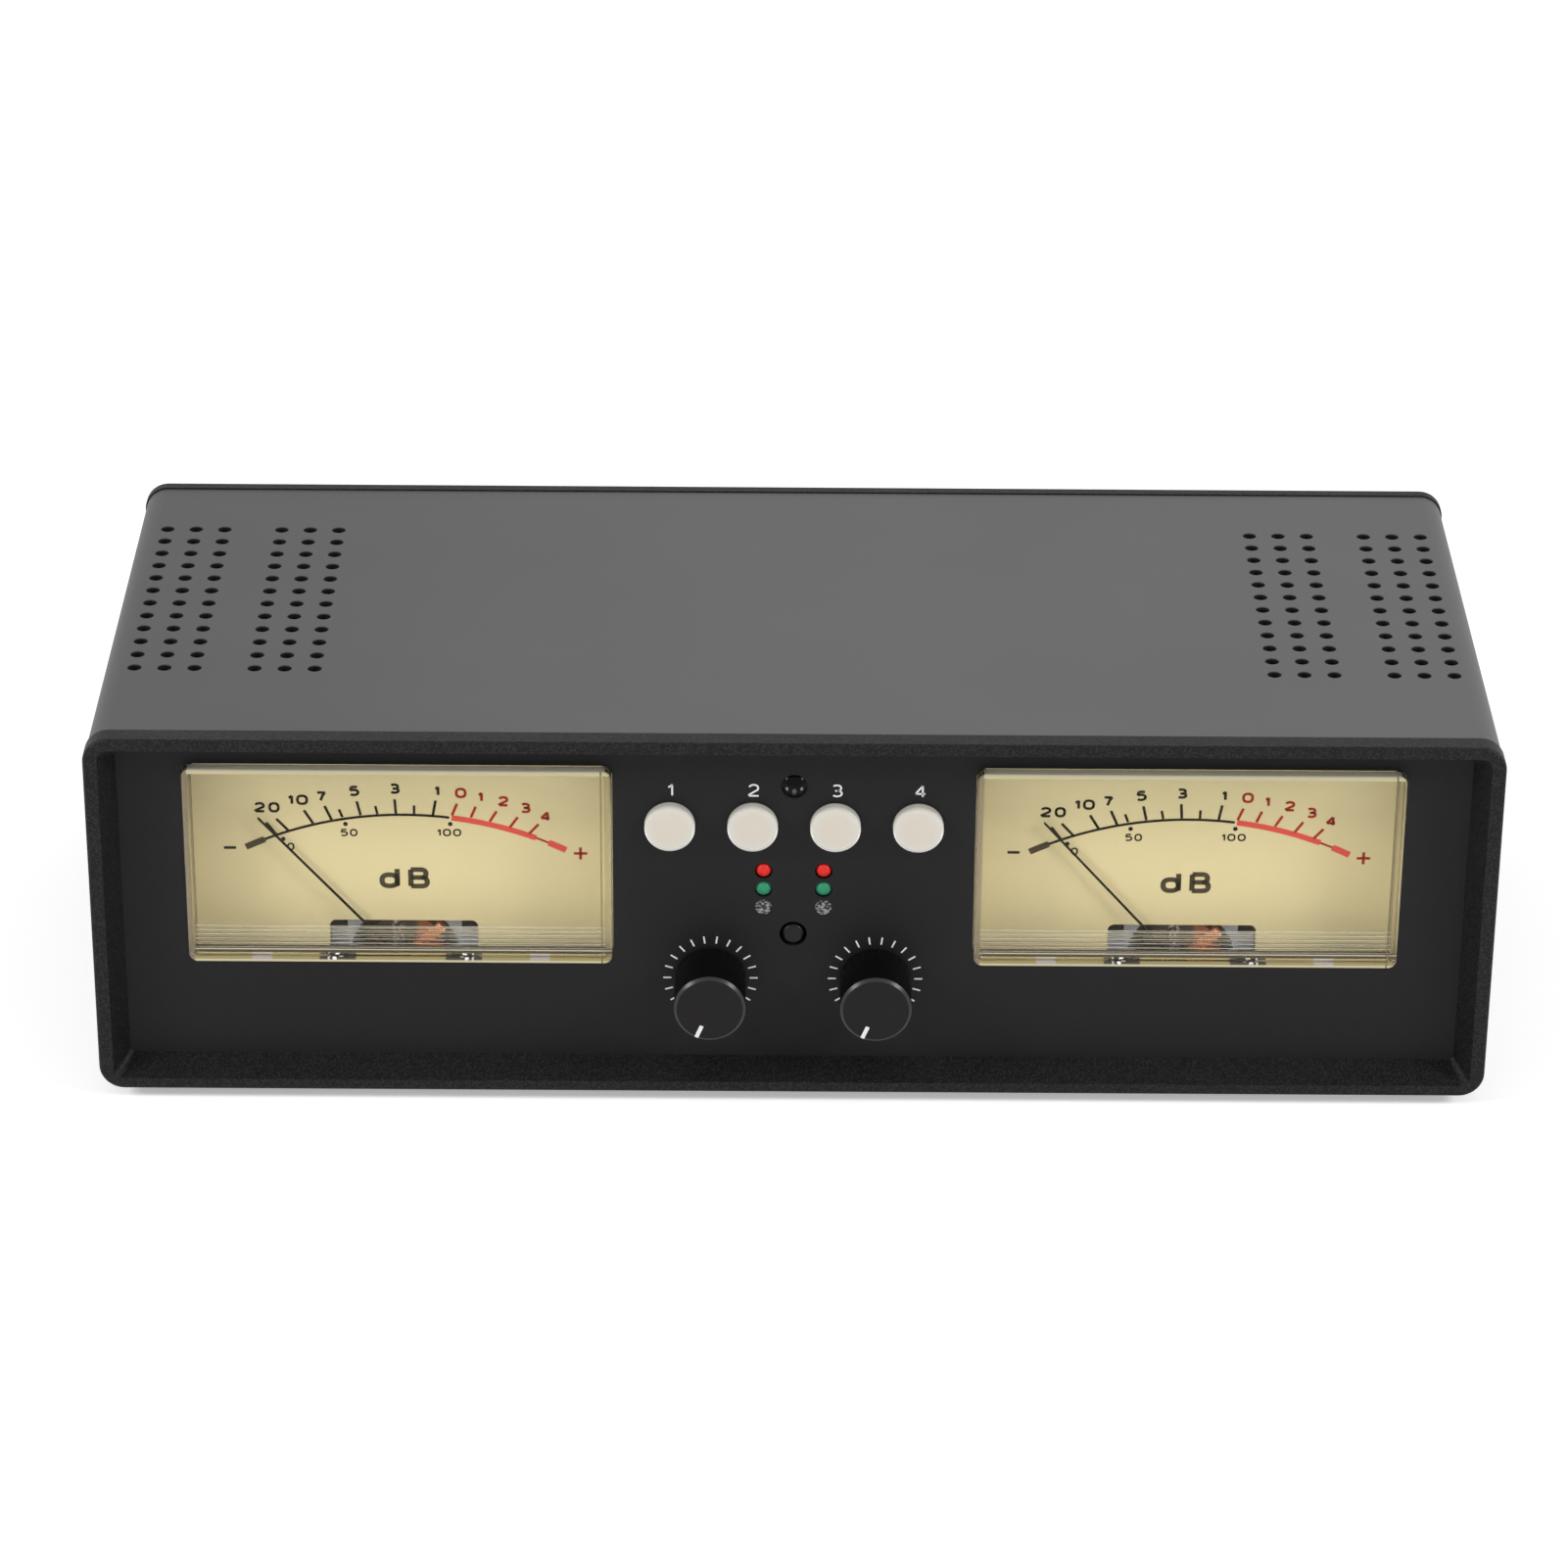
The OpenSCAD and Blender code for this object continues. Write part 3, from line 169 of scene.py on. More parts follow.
class Shade:
    """A value in a material's node tree, which takes part in arithmetic."""

    def __init__(self, tree, socket):
        self.tree = tree
        self.socket = socket

    def math(self, operation, *values):
        return add_node(self.tree, "ShaderNodeMath", 0, {"operation": operation},
                        dict(enumerate(values)))

    def __add__(self, other):
        return self.math("ADD", self, other)

    def __radd__(self, other):
        return self.math("ADD", other, self)

    def __sub__(self, other):
        return self.math("SUBTRACT", self, other)

    def __rsub__(self, other):
        return self.math("SUBTRACT", other, self)

    def __mul__(self, other):
        return self.math("MULTIPLY", self, other)

    def __rmul__(self, other):
        return self.math("MULTIPLY", other, self)

    def __abs__(self):
        return self.math("ABSOLUTE", self)

    def most(self, other):
        return self.math("MAXIMUM", self, other)

    def length(self, other):
        """The distance from the origin of the point with these two coordinates."""
        return self.math("SQRT", self * self + other * other)

    def sine(self):
        return self.math("SINE", self)

    def ramp(self, low, high):
        """0 below low, 1 above high, smooth between."""
        return add_node(self.tree, "ShaderNodeMapRange", "Result",
                        {"interpolation_type": "SMOOTHSTEP"},
                        {"Value": self, "From Min": low, "From Max": high})

    def near(self, middle, inner, outer):
        """1 within inner of the middle, 0 beyond outer, smooth between."""
        return 1.0 - abs(self - middle).ramp(inner, outer)


def seen_directly(tree):
    """1 for rays that come from the camera, or from it by way of a mirror or glass."""
    rays = [add_node(tree, "ShaderNodeLightPath", ray, {}, {})
            for ray in ("Is Camera Ray", "Is Glossy Ray", "Is Transmission Ray")]
    return rays[0].most(rays[1]).most(rays[2])


class Look:
    """A material: one Principled shader and what feeds it."""

    def __init__(self, name, **constants):
        self.material = bpy.data.materials.new(name)
        self.material.use_nodes = True
        self.tree = self.material.node_tree
        self.shader = self.tree.nodes["Principled BSDF"]
        self.result = Shade(self.tree, self.shader.outputs[0])
        self.surface = self.tree.nodes["Material Output"].inputs["Surface"]
        for key, value in constants.items():
            self.set(key.replace("_", " ").title().replace("Ior", "IOR"), value)

    def set(self, socket, value):
        """A value for one of the shader's sockets."""
        feed(self.tree, value, self.shader.inputs[socket])
        return self

    def node(self, kind, output, **sockets):
        """A node of one kind, its sockets written with underlines for spaces."""
        named = {key.replace("_", " "): value for key, value in sockets.items()}
        return add_node(self.tree, kind, output, {}, named)

    def place(self):
        """The point on the object, in metres."""
        return self.node("ShaderNodeTexCoord", "Object")

    def case_axes(self):
        """The point's x, y and z in the case's own millimetres."""
        place = self.place()
        x, y, z = (self.node("ShaderNodeSeparateXYZ", axis, Vector=place) for axis in "XYZ")
        return x * METRE, y * METRE - CASE_SHIFT_Y, z * METRE - CASE_SHIFT_Z

    def along_meter(self, x):
        """How far right of its own meter's middle a point is."""
        return x + METER_X - 2.0 * METER_X * x.ramp(-1.0, 1.0)

    def stretched(self, x, y, z):
        """The point, scaled apart along each axis."""
        return self.node("ShaderNodeMapping", "Vector", Vector=self.place(), Scale=(x, y, z))

    def grain(self, size_mm, detail=2.0, vector=None):
        """Noise from 0 to 1 whose spots are about size_mm across."""
        return self.node("ShaderNodeTexNoise", "Fac", Vector=vector or self.place(),
                         Scale=METRE / size_mm, Detail=detail)

    def mix(self, factor, low, high):
        """A colour between two colours."""
        return add_node(self.tree, "ShaderNodeMix", 2, {"data_type": "RGBA"},
                        {0: factor, 6: low, 7: high})

    def bump(self, height, depth_mm):
        """A relief of the given depth on the whole surface."""
        return self.set("Normal", self.node("ShaderNodeBump", "Normal", Height=height,
                                            Distance=depth_mm * MM))

    def tint(self, factor, low, high):
        """The material's own colour, between two colours."""
        return self.set("Base Color", self.mix(factor, low, high))

    def blend(self, kind, factor, **sockets):
        """Mixes what the material shows so far with another shader, by a factor."""
        other = self.node(kind, 0, **sockets)
        self.result = add_node(self.tree, "ShaderNodeMixShader", 0, {},
                               {0: factor, 1: self.result, 2: other})
        feed(self.tree, self.result, self.surface)
        return self


def shade_of(colour, factor):
    """A colour made lighter or darker."""
    return tuple(min(1.0, c * factor) for c in colour)


def coated(name, colour, size_mm, depth_mm, roughness, contrast=0.25, **more):
    """Paint, plastic or metal with a fine grain and slow patches of sheen."""
    look = Look(name, **more)
    fine = look.grain(size_mm, 3.0)
    slow = look.grain(18.0, 2.0)
    look.tint(fine.ramp(0.3, 0.7), shade_of(colour, 1.0 - contrast), shade_of(colour, 1.0 + contrast))
    look.set("Roughness", roughness - 0.04 + 0.08 * slow)
    return look.bump(fine, depth_mm)


def tool_rings(look):
    """Fine marks of a lathe or a grinding wheel, close together along y."""
    return look.grain(0.5, 3.0, look.stretched(1.0, 9.0, 1.0))


def turned(name, colour, roughness):
    """Machined metal with fine rings of the tool."""
    look = Look(name, metallic=1.0)
    fine = tool_rings(look)
    look.tint(fine.ramp(0.25, 0.75), shade_of(colour, 0.86), shade_of(colour, 1.1))
    look.set("Roughness", roughness + 0.12 * fine)
    return look.bump(fine, 0.004)


# ---- Materials ----

def frame_look(name):
    """Fine sand-textured black coat of both end frames."""
    look = Look(name, specular_ior_level=0.2)
    sand = look.grain(0.34, 3.0)
    slow = look.grain(14.0, 2.0)
    look.tint(sand.ramp(0.4, 0.7), (0.0006, 0.0006, 0.0006), (0.018, 0.018, 0.018))
    look.set("Roughness", 0.44 + 0.12 * slow)
    return look.bump(sand, 0.09)


def panel_look(name):
    """Matte black print of the front and rear panels."""
    return coated(name, (0.0098, 0.0095, 0.0098), 0.16, 0.006, 0.55, contrast=0.22,
                  specular_ior_level=0.17)


# The sleeve is painted black within these, as shade inside the case
SLEEVE_DARK_HALF_W = 120.6
SLEEVE_DARK_TOP_Z = 69.95


def sleeve_look(name):
    """Smooth grey coat with painted shade: a little darker towards the left, and black inside the
    vent holes.
    """
    look = Look(name, specular_ior_level=0.3)
    x, y, z = look.case_axes()
    fine = look.grain(0.12, 3.0)
    slow = look.grain(30.0, 1.0)
    # Painted shade: the coat darkens towards the left, where the light falls off across the top; slow
    # patches of tone are mixed in
    light = x.ramp(-150.0, 20.0) * 0.7 + slow * 0.3
    coat = look.mix(light, (0.072, 0.072, 0.073), (0.112, 0.112, 0.113))
    # Painted shade: black, and rougher, on the walls of the vent holes and on the inside of the
    # sleeve
    inside = (SLEEVE_DARK_HALF_W - abs(x)).ramp(0.0, 0.1)
    inside = inside * (SLEEVE_DARK_TOP_Z - z).ramp(0.0, 0.1) * z.ramp(0.5, 0.6)
    look.tint(inside, coat, (0.004, 0.004, 0.004))
    look.set("Roughness", 0.5 + 0.05 * fine + 0.4 * inside)
    return look.bump(fine, 0.004)


# Where the painted shade starts on the left dial's far end and on both dials' feet
DIAL_END_X = -86.0
DIAL_LOW_Z = 27.4


def dial_look(name):
    """Cream card colour, with painted light under the top and painted shade at the foot and at the
    far left.
    """
    look = Look(name, roughness=0.6, specular_ior_level=0.15)
    x, y, z = look.case_axes()
    # Painted shade: darker at the left dial's far end, towards the foot and along the lowest band
    end = (DIAL_END_X - x).ramp(0.0, 24.0) * 0.4
    foot = (METER_Z - z).ramp(4.0, 20.0) * 0.3
    low = (DIAL_LOW_Z - z).ramp(0.0, 4.5)
    # Painted light: lighter towards the top of the dial
    top = (z - METER_Z).ramp(4.0, 20.0)
    cream = look.mix(look.grain(0.3), (0.65, 0.558, 0.315), (0.684, 0.588, 0.335))
    cream_with_painted_light = look.mix(top, cream, (0.96, 0.84, 0.49))
    look.tint(end.most(foot).most(low), cream_with_painted_light, (0.475, 0.405, 0.235))
    return look


# Painted reflections, highlights and shade on the lens: places across are from the middle of a meter,
# rises are from the lens foot
CLIP_X = 24.9
CLIP_HALF_W = 1.7
SCREW_X = 11.3
STRAP_HALF_W = 3.1
HEAD_Y = 5.6
HEAD_R = 1.7
GLINT_Y = 5.2
GLINT_SLANT = 0.25
GLINT_HALF_W = 0.25
SIDE_GLINT_X = 12.9
FOOT_SHADE_Y = 5.1
FOOT_LINE_Y = 6.45
FOOT_LIP_Y = 6.05
FOOT_END_Y = 7.6
RIM_RISE = 0.72
RIM_DROP = 0.95
SILL_RISES = (2.1, 3.2)
SILL_LINE_RISE = 2.75
LEFT_EDGE_W = 1.05
RIGHT_LINE_IN = 1.83
PAINT_EDGE = 0.1


def painted_foot_reflections(look, across, y, under):
    """The lens foot from above, with painted shade and reflections: light and dark lines, clips, and
    screw heads on their straps, with painted glints.
    """
    # Painted shade: olive nearer the front, dark further back
    far = y.ramp(FOOT_SHADE_Y, FOOT_SHADE_Y + PAINT_EDGE) * (1.0 - under)
    fore = 1.0 - far
    paint = look.mix(far, (0.34, 0.28, 0.13), (0.08, 0.07, 0.055))
    # Painted highlight: a light line across the foot
    line = y.near(FOOT_LINE_Y, 0.12, 0.3) * (1.0 - under)
    paint = look.mix(line, paint, (0.62, 0.58, 0.48))
    # Painted reflections of the dial's clips, and of the movement's screw heads on their straps
    painted_clip_reflection = across.near(CLIP_X, CLIP_HALF_W, CLIP_HALF_W + 0.15) * fore
    paint = look.mix(painted_clip_reflection, paint, (0.42, 0.38, 0.37))
    painted_strap_reflection = across.near(SCREW_X, STRAP_HALF_W, STRAP_HALF_W + 0.3) * fore
    paint = look.mix(painted_strap_reflection, paint, (0.06, 0.05, 0.046))
    off = across - SCREW_X
    painted_head_reflection = (1.0 - (off * 0.8).length(y - HEAD_Y).ramp(HEAD_R, HEAD_R + 0.3)) * fore
    paint = look.mix(painted_head_reflection, paint, (0.008, 0.008, 0.008))
    # Painted glints on the screw heads and beside them
    slant = abs(off + (y - GLINT_Y) * GLINT_SLANT)
    glint = 1.0 - slant.ramp(GLINT_HALF_W, GLINT_HALF_W + 0.2)
    glint = glint.most(across.near(SIDE_GLINT_X, 0.1, 0.25) * 0.6)
    glint = glint * look.grain(0.7, 1.0).ramp(0.36, 0.46) * fore
    paint = look.mix(glint, paint, (0.95, 0.95, 0.95))
    # Painted light: a bright line along the outer bottom edge, as light carried from the dial
    painted_light_lip = under * (1.0 - y.ramp(FOOT_LIP_Y, FOOT_LIP_Y + PAINT_EDGE))
    return look.mix(painted_light_lip, paint, (1.0, 0.94, 0.72))


def lens_look(name):
    """Clear acrylic with frosted, grey-tinted walls, and painted shade, light and reflections at its
    foot, its top and its front's edges.

    Light passes straight through it to the dial."""
    look = Look(name, transmission_weight=1.0, ior=1.49, specular_ior_level=0.1,
                specular_tint=(0.3, 0.26, 0.18))
    x, y, z = look.case_axes()
    across = abs(abs(x) - METER_X)
    behind = y.ramp(LENS_INNER_Y + 0.05, LENS_INNER_Y + 0.1)
    # Frosted walls: rougher, and tinted grey as painted shade
    wall = (across - LENS_HALF_W + LENS_WALL).ramp(-0.1, -0.02) * behind
    clear = look.mix(look.grain(30.0), (0.97, 0.965, 0.94), (0.985, 0.98, 0.965))
    look.tint(wall * 0.6, clear, (0.62, 0.6, 0.55))
    look.set("Roughness", 0.01 + 0.2 * wall)

    low = (LENS_FOOT_Z + LENS_WALL + 0.1 - z).ramp(0.0, 0.05)
    under = (LENS_FOOT_Z + 0.2 - z).ramp(0.0, 0.05)
    foot = low * (1.0 - y.ramp(FOOT_END_Y, FOOT_END_Y + 0.8))
    # Painted shade: grey over the top of the lens, behind the panel's front
    painted_shade_crown = z.ramp(LENS_TOP_Z - 0.14, LENS_TOP_Z - 0.06) * (PANEL_Y - y).ramp(-0.1, 0.0)
    paint = look.mix(painted_shade_crown, painted_foot_reflections(look, across, y, under), (0.5, 0.49, 0.46))

    face = (LENS_FRONT_Y + 0.35 - y).ramp(0.0, PAINT_EDGE)
    along = look.along_meter(x)
    rise = z - LENS_FOOT_Z
    # Painted light: pale bands along the bottom and the top of the front face
    bottom = (LENS_FOOT_Z + RIM_RISE - z).ramp(0.0, PAINT_EDGE)
    rim = face * bottom.most((z - LENS_TOP_Z).ramp(-RIM_DROP, -RIM_DROP + 0.15))
    # Painted shade: a dark band low on the front face, with a painted light line in it
    first, last = SILL_RISES
    painted_shade_sill = face * rise.ramp(first, first + PAINT_EDGE) * (1.0 - rise.ramp(last, last + PAINT_EDGE))
    # Painted reflections: a dark band at the left edge of the front face and a dark line near its
    # right edge
    left = face * (-1.0 * along - LENS_HALF_W).ramp(-LEFT_EDGE_W, -LEFT_EDGE_W + PAINT_EDGE)
    right = face * (along - LENS_HALF_W).near(-RIGHT_LINE_IN, 0.12, 0.2)
    front = look.mix(rise.near(SILL_LINE_RISE, 0.08, 0.16), (0.075, 0.066, 0.045),
                     (0.6, 0.55, 0.44))
    front = look.mix(rim, front, (0.64, 0.58, 0.38))
    front = look.mix(left, front, (0.26, 0.21, 0.16))
    front = look.mix(right, front, (0.2, 0.165, 0.075))
    edges = rim.most(painted_shade_sill).most(left).most(right)
    cover = (foot * 0.92).most(painted_shade_crown * 0.8).most(rim * 0.9).most(painted_shade_sill * 0.55)
    look.blend("ShaderNodeBsdfPrincipled", cover.most(left.most(right) * 0.6),
               Base_Color=look.mix(edges, paint, front), Roughness=0.6, Specular_IOR_Level=0.0)
    shadow = look.node("ShaderNodeLightPath", "Is Shadow Ray")
    return look.blend("ShaderNodeBsdfTransparent", shadow)


CAP_RIM_R = 4.05


def cap_look(name):
    """Milky cream plastic, paler towards the rim, with a painted highlight round the lower rim and
    painted shade along the upper one.
    """
    look = Look(name, roughness=0.3, subsurface_weight=0.2, subsurface_scale=0.0015,
                specular_ior_level=0.3)
    x, y, z = look.case_axes()
    across = abs(abs(abs(x) - BUTTON_PITCH) - BUTTON_PITCH / 2)
    out = across.length(z - BUTTON_Z)
    core = look.mix(look.grain(3.0), (0.672, 0.62, 0.535), (0.705, 0.653, 0.563))
    face = look.mix(out.ramp(2.6, 4.2), core, (0.69, 0.67, 0.61))
    # Painted highlight: whiter round the lower rim
    lower = out.ramp(CAP_RIM_R, CAP_RIM_R + 0.15) * (BUTTON_Z - z).ramp(-1.0, 1.5)
    # Painted shade: darker along the upper rim
    upper = out.ramp(CAP_RIM_R - 0.15, CAP_RIM_R + 0.25) * (z - BUTTON_Z).ramp(2.0, 3.8)
    look.tint(upper, look.mix(lower, face, (0.98, 0.98, 0.94)), (0.58, 0.56, 0.5))
    return look


KNOB_RIM_R = 5.85


def knob_look(name):
    """Satin black, with a fine grain and a polished rim round its face."""
    look = Look(name, specular_ior_level=0.12, coat_roughness=0.3)
    x, y, z = look.case_axes()
    out = (abs(x) - KNOB_X).length(z - KNOB_Z)
    front = (KNOB_FACE_Y + 0.6 - y).ramp(-0.1, 0.1)
    rim = out.ramp(KNOB_RIM_R, KNOB_RIM_R + 0.1) * front
    fine = look.grain(0.4, 2.0)
    face = look.mix(front, (0.0008, 0.0008, 0.0008), (0.0125, 0.0112, 0.0117))
    look.set("Base Color", look.mix(rim, face, (0.012, 0.012, 0.012)))
    look.set("Coat Weight", rim * 0.55)
    look.set("Roughness", 0.5 + 0.06 * fine)
    return look.bump(fine, 0.003)


def lamp_look(name, row_z, core, edge):
    """Tinted plastic, milky, with an edge of another depth of colour."""
    look = Look(name, roughness=0.4, specular_ior_level=0.3)
    x, y, z = look.case_axes()
    out = (abs(x) - LAMP_X).length(z - row_z)
    cloud = look.mix(look.grain(1.2), core, shade_of(core, 0.92))
    look.tint(out.ramp(1.1, 1.4), cloud, edge)
    return look


def gauze_look(name):
    """Grey felted gauze over the small microphones."""
    look = Look(name, roughness=0.7, specular_ior_level=0.3)
    strand = look.grain(0.55, 3.0, look.stretched(1.0, 1.0, 1.6))
    look.tint(strand.ramp(0.42, 0.6), (0.016, 0.016, 0.016), (0.3, 0.295, 0.295))
    return look.bump(strand, 0.08)


def mode_look(name):
    """Black plastic of the small button, polished on its bevel."""
    return coated(name, (0.005, 0.005, 0.005), 0.3, 0.003, 0.34, specular_ior_level=0.22)


WIRE_TURNS = 9.0


def wound_look(name):
    """Varnished copper wire in fine turns, which run aslant across the winding."""
    look = Look(name, metallic=0.3, roughness=0.32, coat_weight=0.3)
    x, y, z = look.case_axes()
    turns = (x * WIRE_TURNS + z * WIRE_TURNS).sine()
    look.tint(turns.ramp(-1.0, 1.0), (0.62, 0.16, 0.06), (0.95, 0.36, 0.15))
    return look.bump(turns, 0.02)


def yoke_look(name):
    """Ground steel on its front face, with painted shade behind it."""
    look = Look(name, metallic=0.2)
    x, y, z = look.case_axes()
    fine = tool_rings(look)
    steel = look.mix(fine, (0.5, 0.52, 0.58), (0.62, 0.64, 0.71))
    # Painted shade: dark behind the front face
    look.tint(y.ramp(YOKE_Y + 0.1, YOKE_Y + 0.6), steel, (0.05, 0.052, 0.06))
    look.set("Roughness", 0.5 + 0.12 * fine)
    return look.bump(fine, 0.004)


COPPER_REFLECTION_X = 4.2
MAGNET_GLINT_X = -1.2


def magnet_look(name):
    """Dark ground core, with a painted warm reflection of the copper in its polish and pale painted
    glints beside it.
    """
    look = Look(name, metallic=0.5, roughness=0.4)
    x, y, z = look.case_axes()
    along = look.along_meter(x)
    streak = look.grain(1.6, 2.0, look.stretched(0.5, 1.0, 2.0))
    iron = look.mix(streak, (0.035, 0.025, 0.023), (0.16, 0.12, 0.11))
    # Painted reflection: a warm patch where the copper coil shows in the polish
    iron = look.mix(along.near(COPPER_REFLECTION_X, 1.3, 2.4) * 0.9, iron, (0.58, 0.2, 0.09))
    # Painted glints: pale specks beside it
    painted_glint = along.near(MAGNET_GLINT_X, 0.5, 1.3) * look.grain(0.7, 2.0).ramp(0.5, 0.6)
    look.tint(painted_glint, iron, (0.7, 0.66, 0.64))
    return look


EYE_GLINT_X = 1.3


def eye_look(name):
    """Dark tinted dome of the receiver, with a painted glint at its middle and one at each side."""
    look = Look(name, roughness=0.08, specular_ior_level=0.1)
    x, y, z = look.case_axes()
    up = z - EYE_Z
    # Painted highlights: a glint at the middle and one at each side
    middle = 1.0 - (x * 1.3).length(up + 0.5).ramp(0.2, 0.75)
    side = 1.0 - (abs(x) - EYE_GLINT_X).length((up + 0.1) * 0.7).ramp(0.1, 0.32)
    look.tint((middle * 0.35).most(side), (0.001, 0.001, 0.0012), (0.3, 0.3, 0.3))
    return look


def ink(name, colour):
    """Silk-screened ink."""
    look = Look(name, roughness=0.7, specular_ior_level=0.0)
    look.tint(look.grain(0.2), shade_of(colour, 0.93), shade_of(colour, 1.05))
    return look.material


LOOKS = {
    "frame_coat": frame_look,
    "panel_coat": panel_look,
    "sleeve_coat": sleeve_look,
    "screw_steel": lambda name: turned(name, (0.5, 0.5, 0.52), 0.3),
    "foot_rubber": lambda name: coated(name, (0.012, 0.012, 0.012), 0.3, 0.02, 0.75),
    "clear_lens": lens_look,
    "housing_plastic": lambda name: coated(name, (0.6, 0.57, 0.46), 0.4, 0.005, 0.5, contrast=0.04),
    "dial_paint": dial_look,
    "needle_coat": lambda name: coated(name, (0.0015, 0.0015, 0.0015), 0.3, 0.002, 0.6,
                                       specular_ior_level=0.02),
    "coil_copper": wound_look,
    "staff_steel": lambda name: turned(name, (0.7, 0.7, 0.72), 0.18),
    "magnet_alloy": magnet_look,
    "yoke_steel": yoke_look,
    "bridge_alloy": lambda name: turned(name, (0.16, 0.15, 0.13), 0.4),
    "spring_bronze": lambda name: turned(name, (0.9, 0.82, 0.72), 0.2),
    "jewel_brass": lambda name: turned(name, (0.7, 0.52, 0.25), 0.25),
    "strip_white": lambda name: coated(name, (0.8, 0.8, 0.76), 0.5, 0.004, 0.4, contrast=0.03),
    "lead_cover": lambda name: coated(name, (0.3, 0.3, 0.3), 0.6, 0.01, 0.6, contrast=0.1),
    "switch_body": lambda name: coated(name, (0.03, 0.028, 0.026), 0.3, 0.01, 0.5),
    "mode_plastic": mode_look,
    "eye_plastic": eye_look,
    "lamp_red": lambda name: lamp_look(name, LAMP_Z, (0.75, 0.022, 0.012), (0.4, 0.012, 0.01)),
    "lamp_green": lambda name: lamp_look(name, LAMP_Z - LAMP_PITCH, (0.022, 0.27, 0.13),
                                         (0.1, 0.36, 0.22)),
    "mic_gauze": gauze_look,
    "cap_cream": cap_look,
    "knob_plastic": knob_look,
    "shaft_alloy": lambda name: turned(name, (0.6, 0.6, 0.62), 0.25),
    "pot_body": lambda name: coated(name, (0.05, 0.11, 0.08), 0.4, 0.01, 0.5),
    "board_green": lambda name: coated(name, (0.008, 0.03, 0.018), 0.8, 0.01, 0.4),
    "standoff_brass": lambda name: turned(name, (0.7, 0.52, 0.25), 0.28),
    "block_plastic": lambda name: coated(name, (0.012, 0.012, 0.012), 0.35, 0.01, 0.45,
                                         specular_ior_level=0.3),
    "socket_plating": lambda name: turned(name, (0.72, 0.62, 0.42), 0.2),
    "capacitor_sleeve": lambda name: coated(name, (0.02, 0.03, 0.09), 0.8, 0.004, 0.25),
}


def dress_nodes():
    """Gives each CAD node the material of its slot."""
    made = {}
    for part in frame["record"]["subparts"]:
        slot = part["material_slot"]
        if slot not in made:
            made[slot] = LOOKS[slot](slot).material
        mesh = frame["nodes"][part["node"]].data
        mesh.materials.clear()
        mesh.materials.append(made[slot])


# ---- Flat print ----

def curve(centre, radii, start, end, steps=16, power=1.0):
    """Points on part of an oval, angles in degrees anticlockwise from the right.

    A power below 1 squares the oval off."""
    points = []
    for n in range(steps + 1):
        turn = math.radians(start + (end - start) * n / steps)
        c = math.cos(turn)
        s = math.sin(turn)
        points.append((centre[0] + radii[0] * math.copysign(abs(c) ** power, c),
                       centre[1] + radii[1] * math.copysign(abs(s) ** power, s)))
    return points


# Each character as open or closed strokes in a box from (0, 0) to (1, 1)
SQUARE = 0.8
STROKES = {
    "0": [curve((0.5, 0.5), (0.5, 0.5), 0, 360, 32, SQUARE)],
    "1": [[(1, 0), (1, 1)], [(0, 0.75), (0.35, 0.79), (0.7, 0.88), (1, 1)]],
    "2": [curve((0.48, 0.7), (0.46, 0.3), 165, -30, 16, 0.9) + [(0.62, 0.42), (0, 0.1), (0, 0)],
          [(0, 0), (1, 0)]],
    "3": [curve((0.48, 0.745), (0.45, 0.255), 140, -90, 14, 0.9),
          curve((0.5, 0.255), (0.5, 0.255), 90, -140, 14, 0.9), [(0.3, 0.5), (0.52, 0.5)]],
    "4": [[(0.74, 0), (0.74, 1)], [(0.74, 1), (0, 0.27)], [(0, 0.27), (1, 0.27)]],
    "5": [[(0.92, 1), (0.14, 1)], [(0.14, 1), (0.08, 0.52)],
          [(0.08, 0.52)] + curve((0.46, 0.32), (0.54, 0.32), 112, -132, 16, 0.9)],
    "7": [[(0, 1), (1, 1)], [(1, 1), (0.66, 0.62), (0.42, 0)]],
    "d": [[(1, 0), (1, 1)], curve((0.5, 0.33), (0.5, 0.33), 0, 360, 32, SQUARE)],
    "B": [[(0, 0), (0, 1)], [(0, 1), (0.62, 1)] + curve((0.66, 0.76), (0.27, 0.24), 80, -80, 8)
          + [(0.62, 0.52), (0, 0.52)],
          [(0.62, 0.52)] + curve((0.7, 0.26), (0.3, 0.26), 80, -80, 8) + [(0.62, 0), (0, 0)]],
}


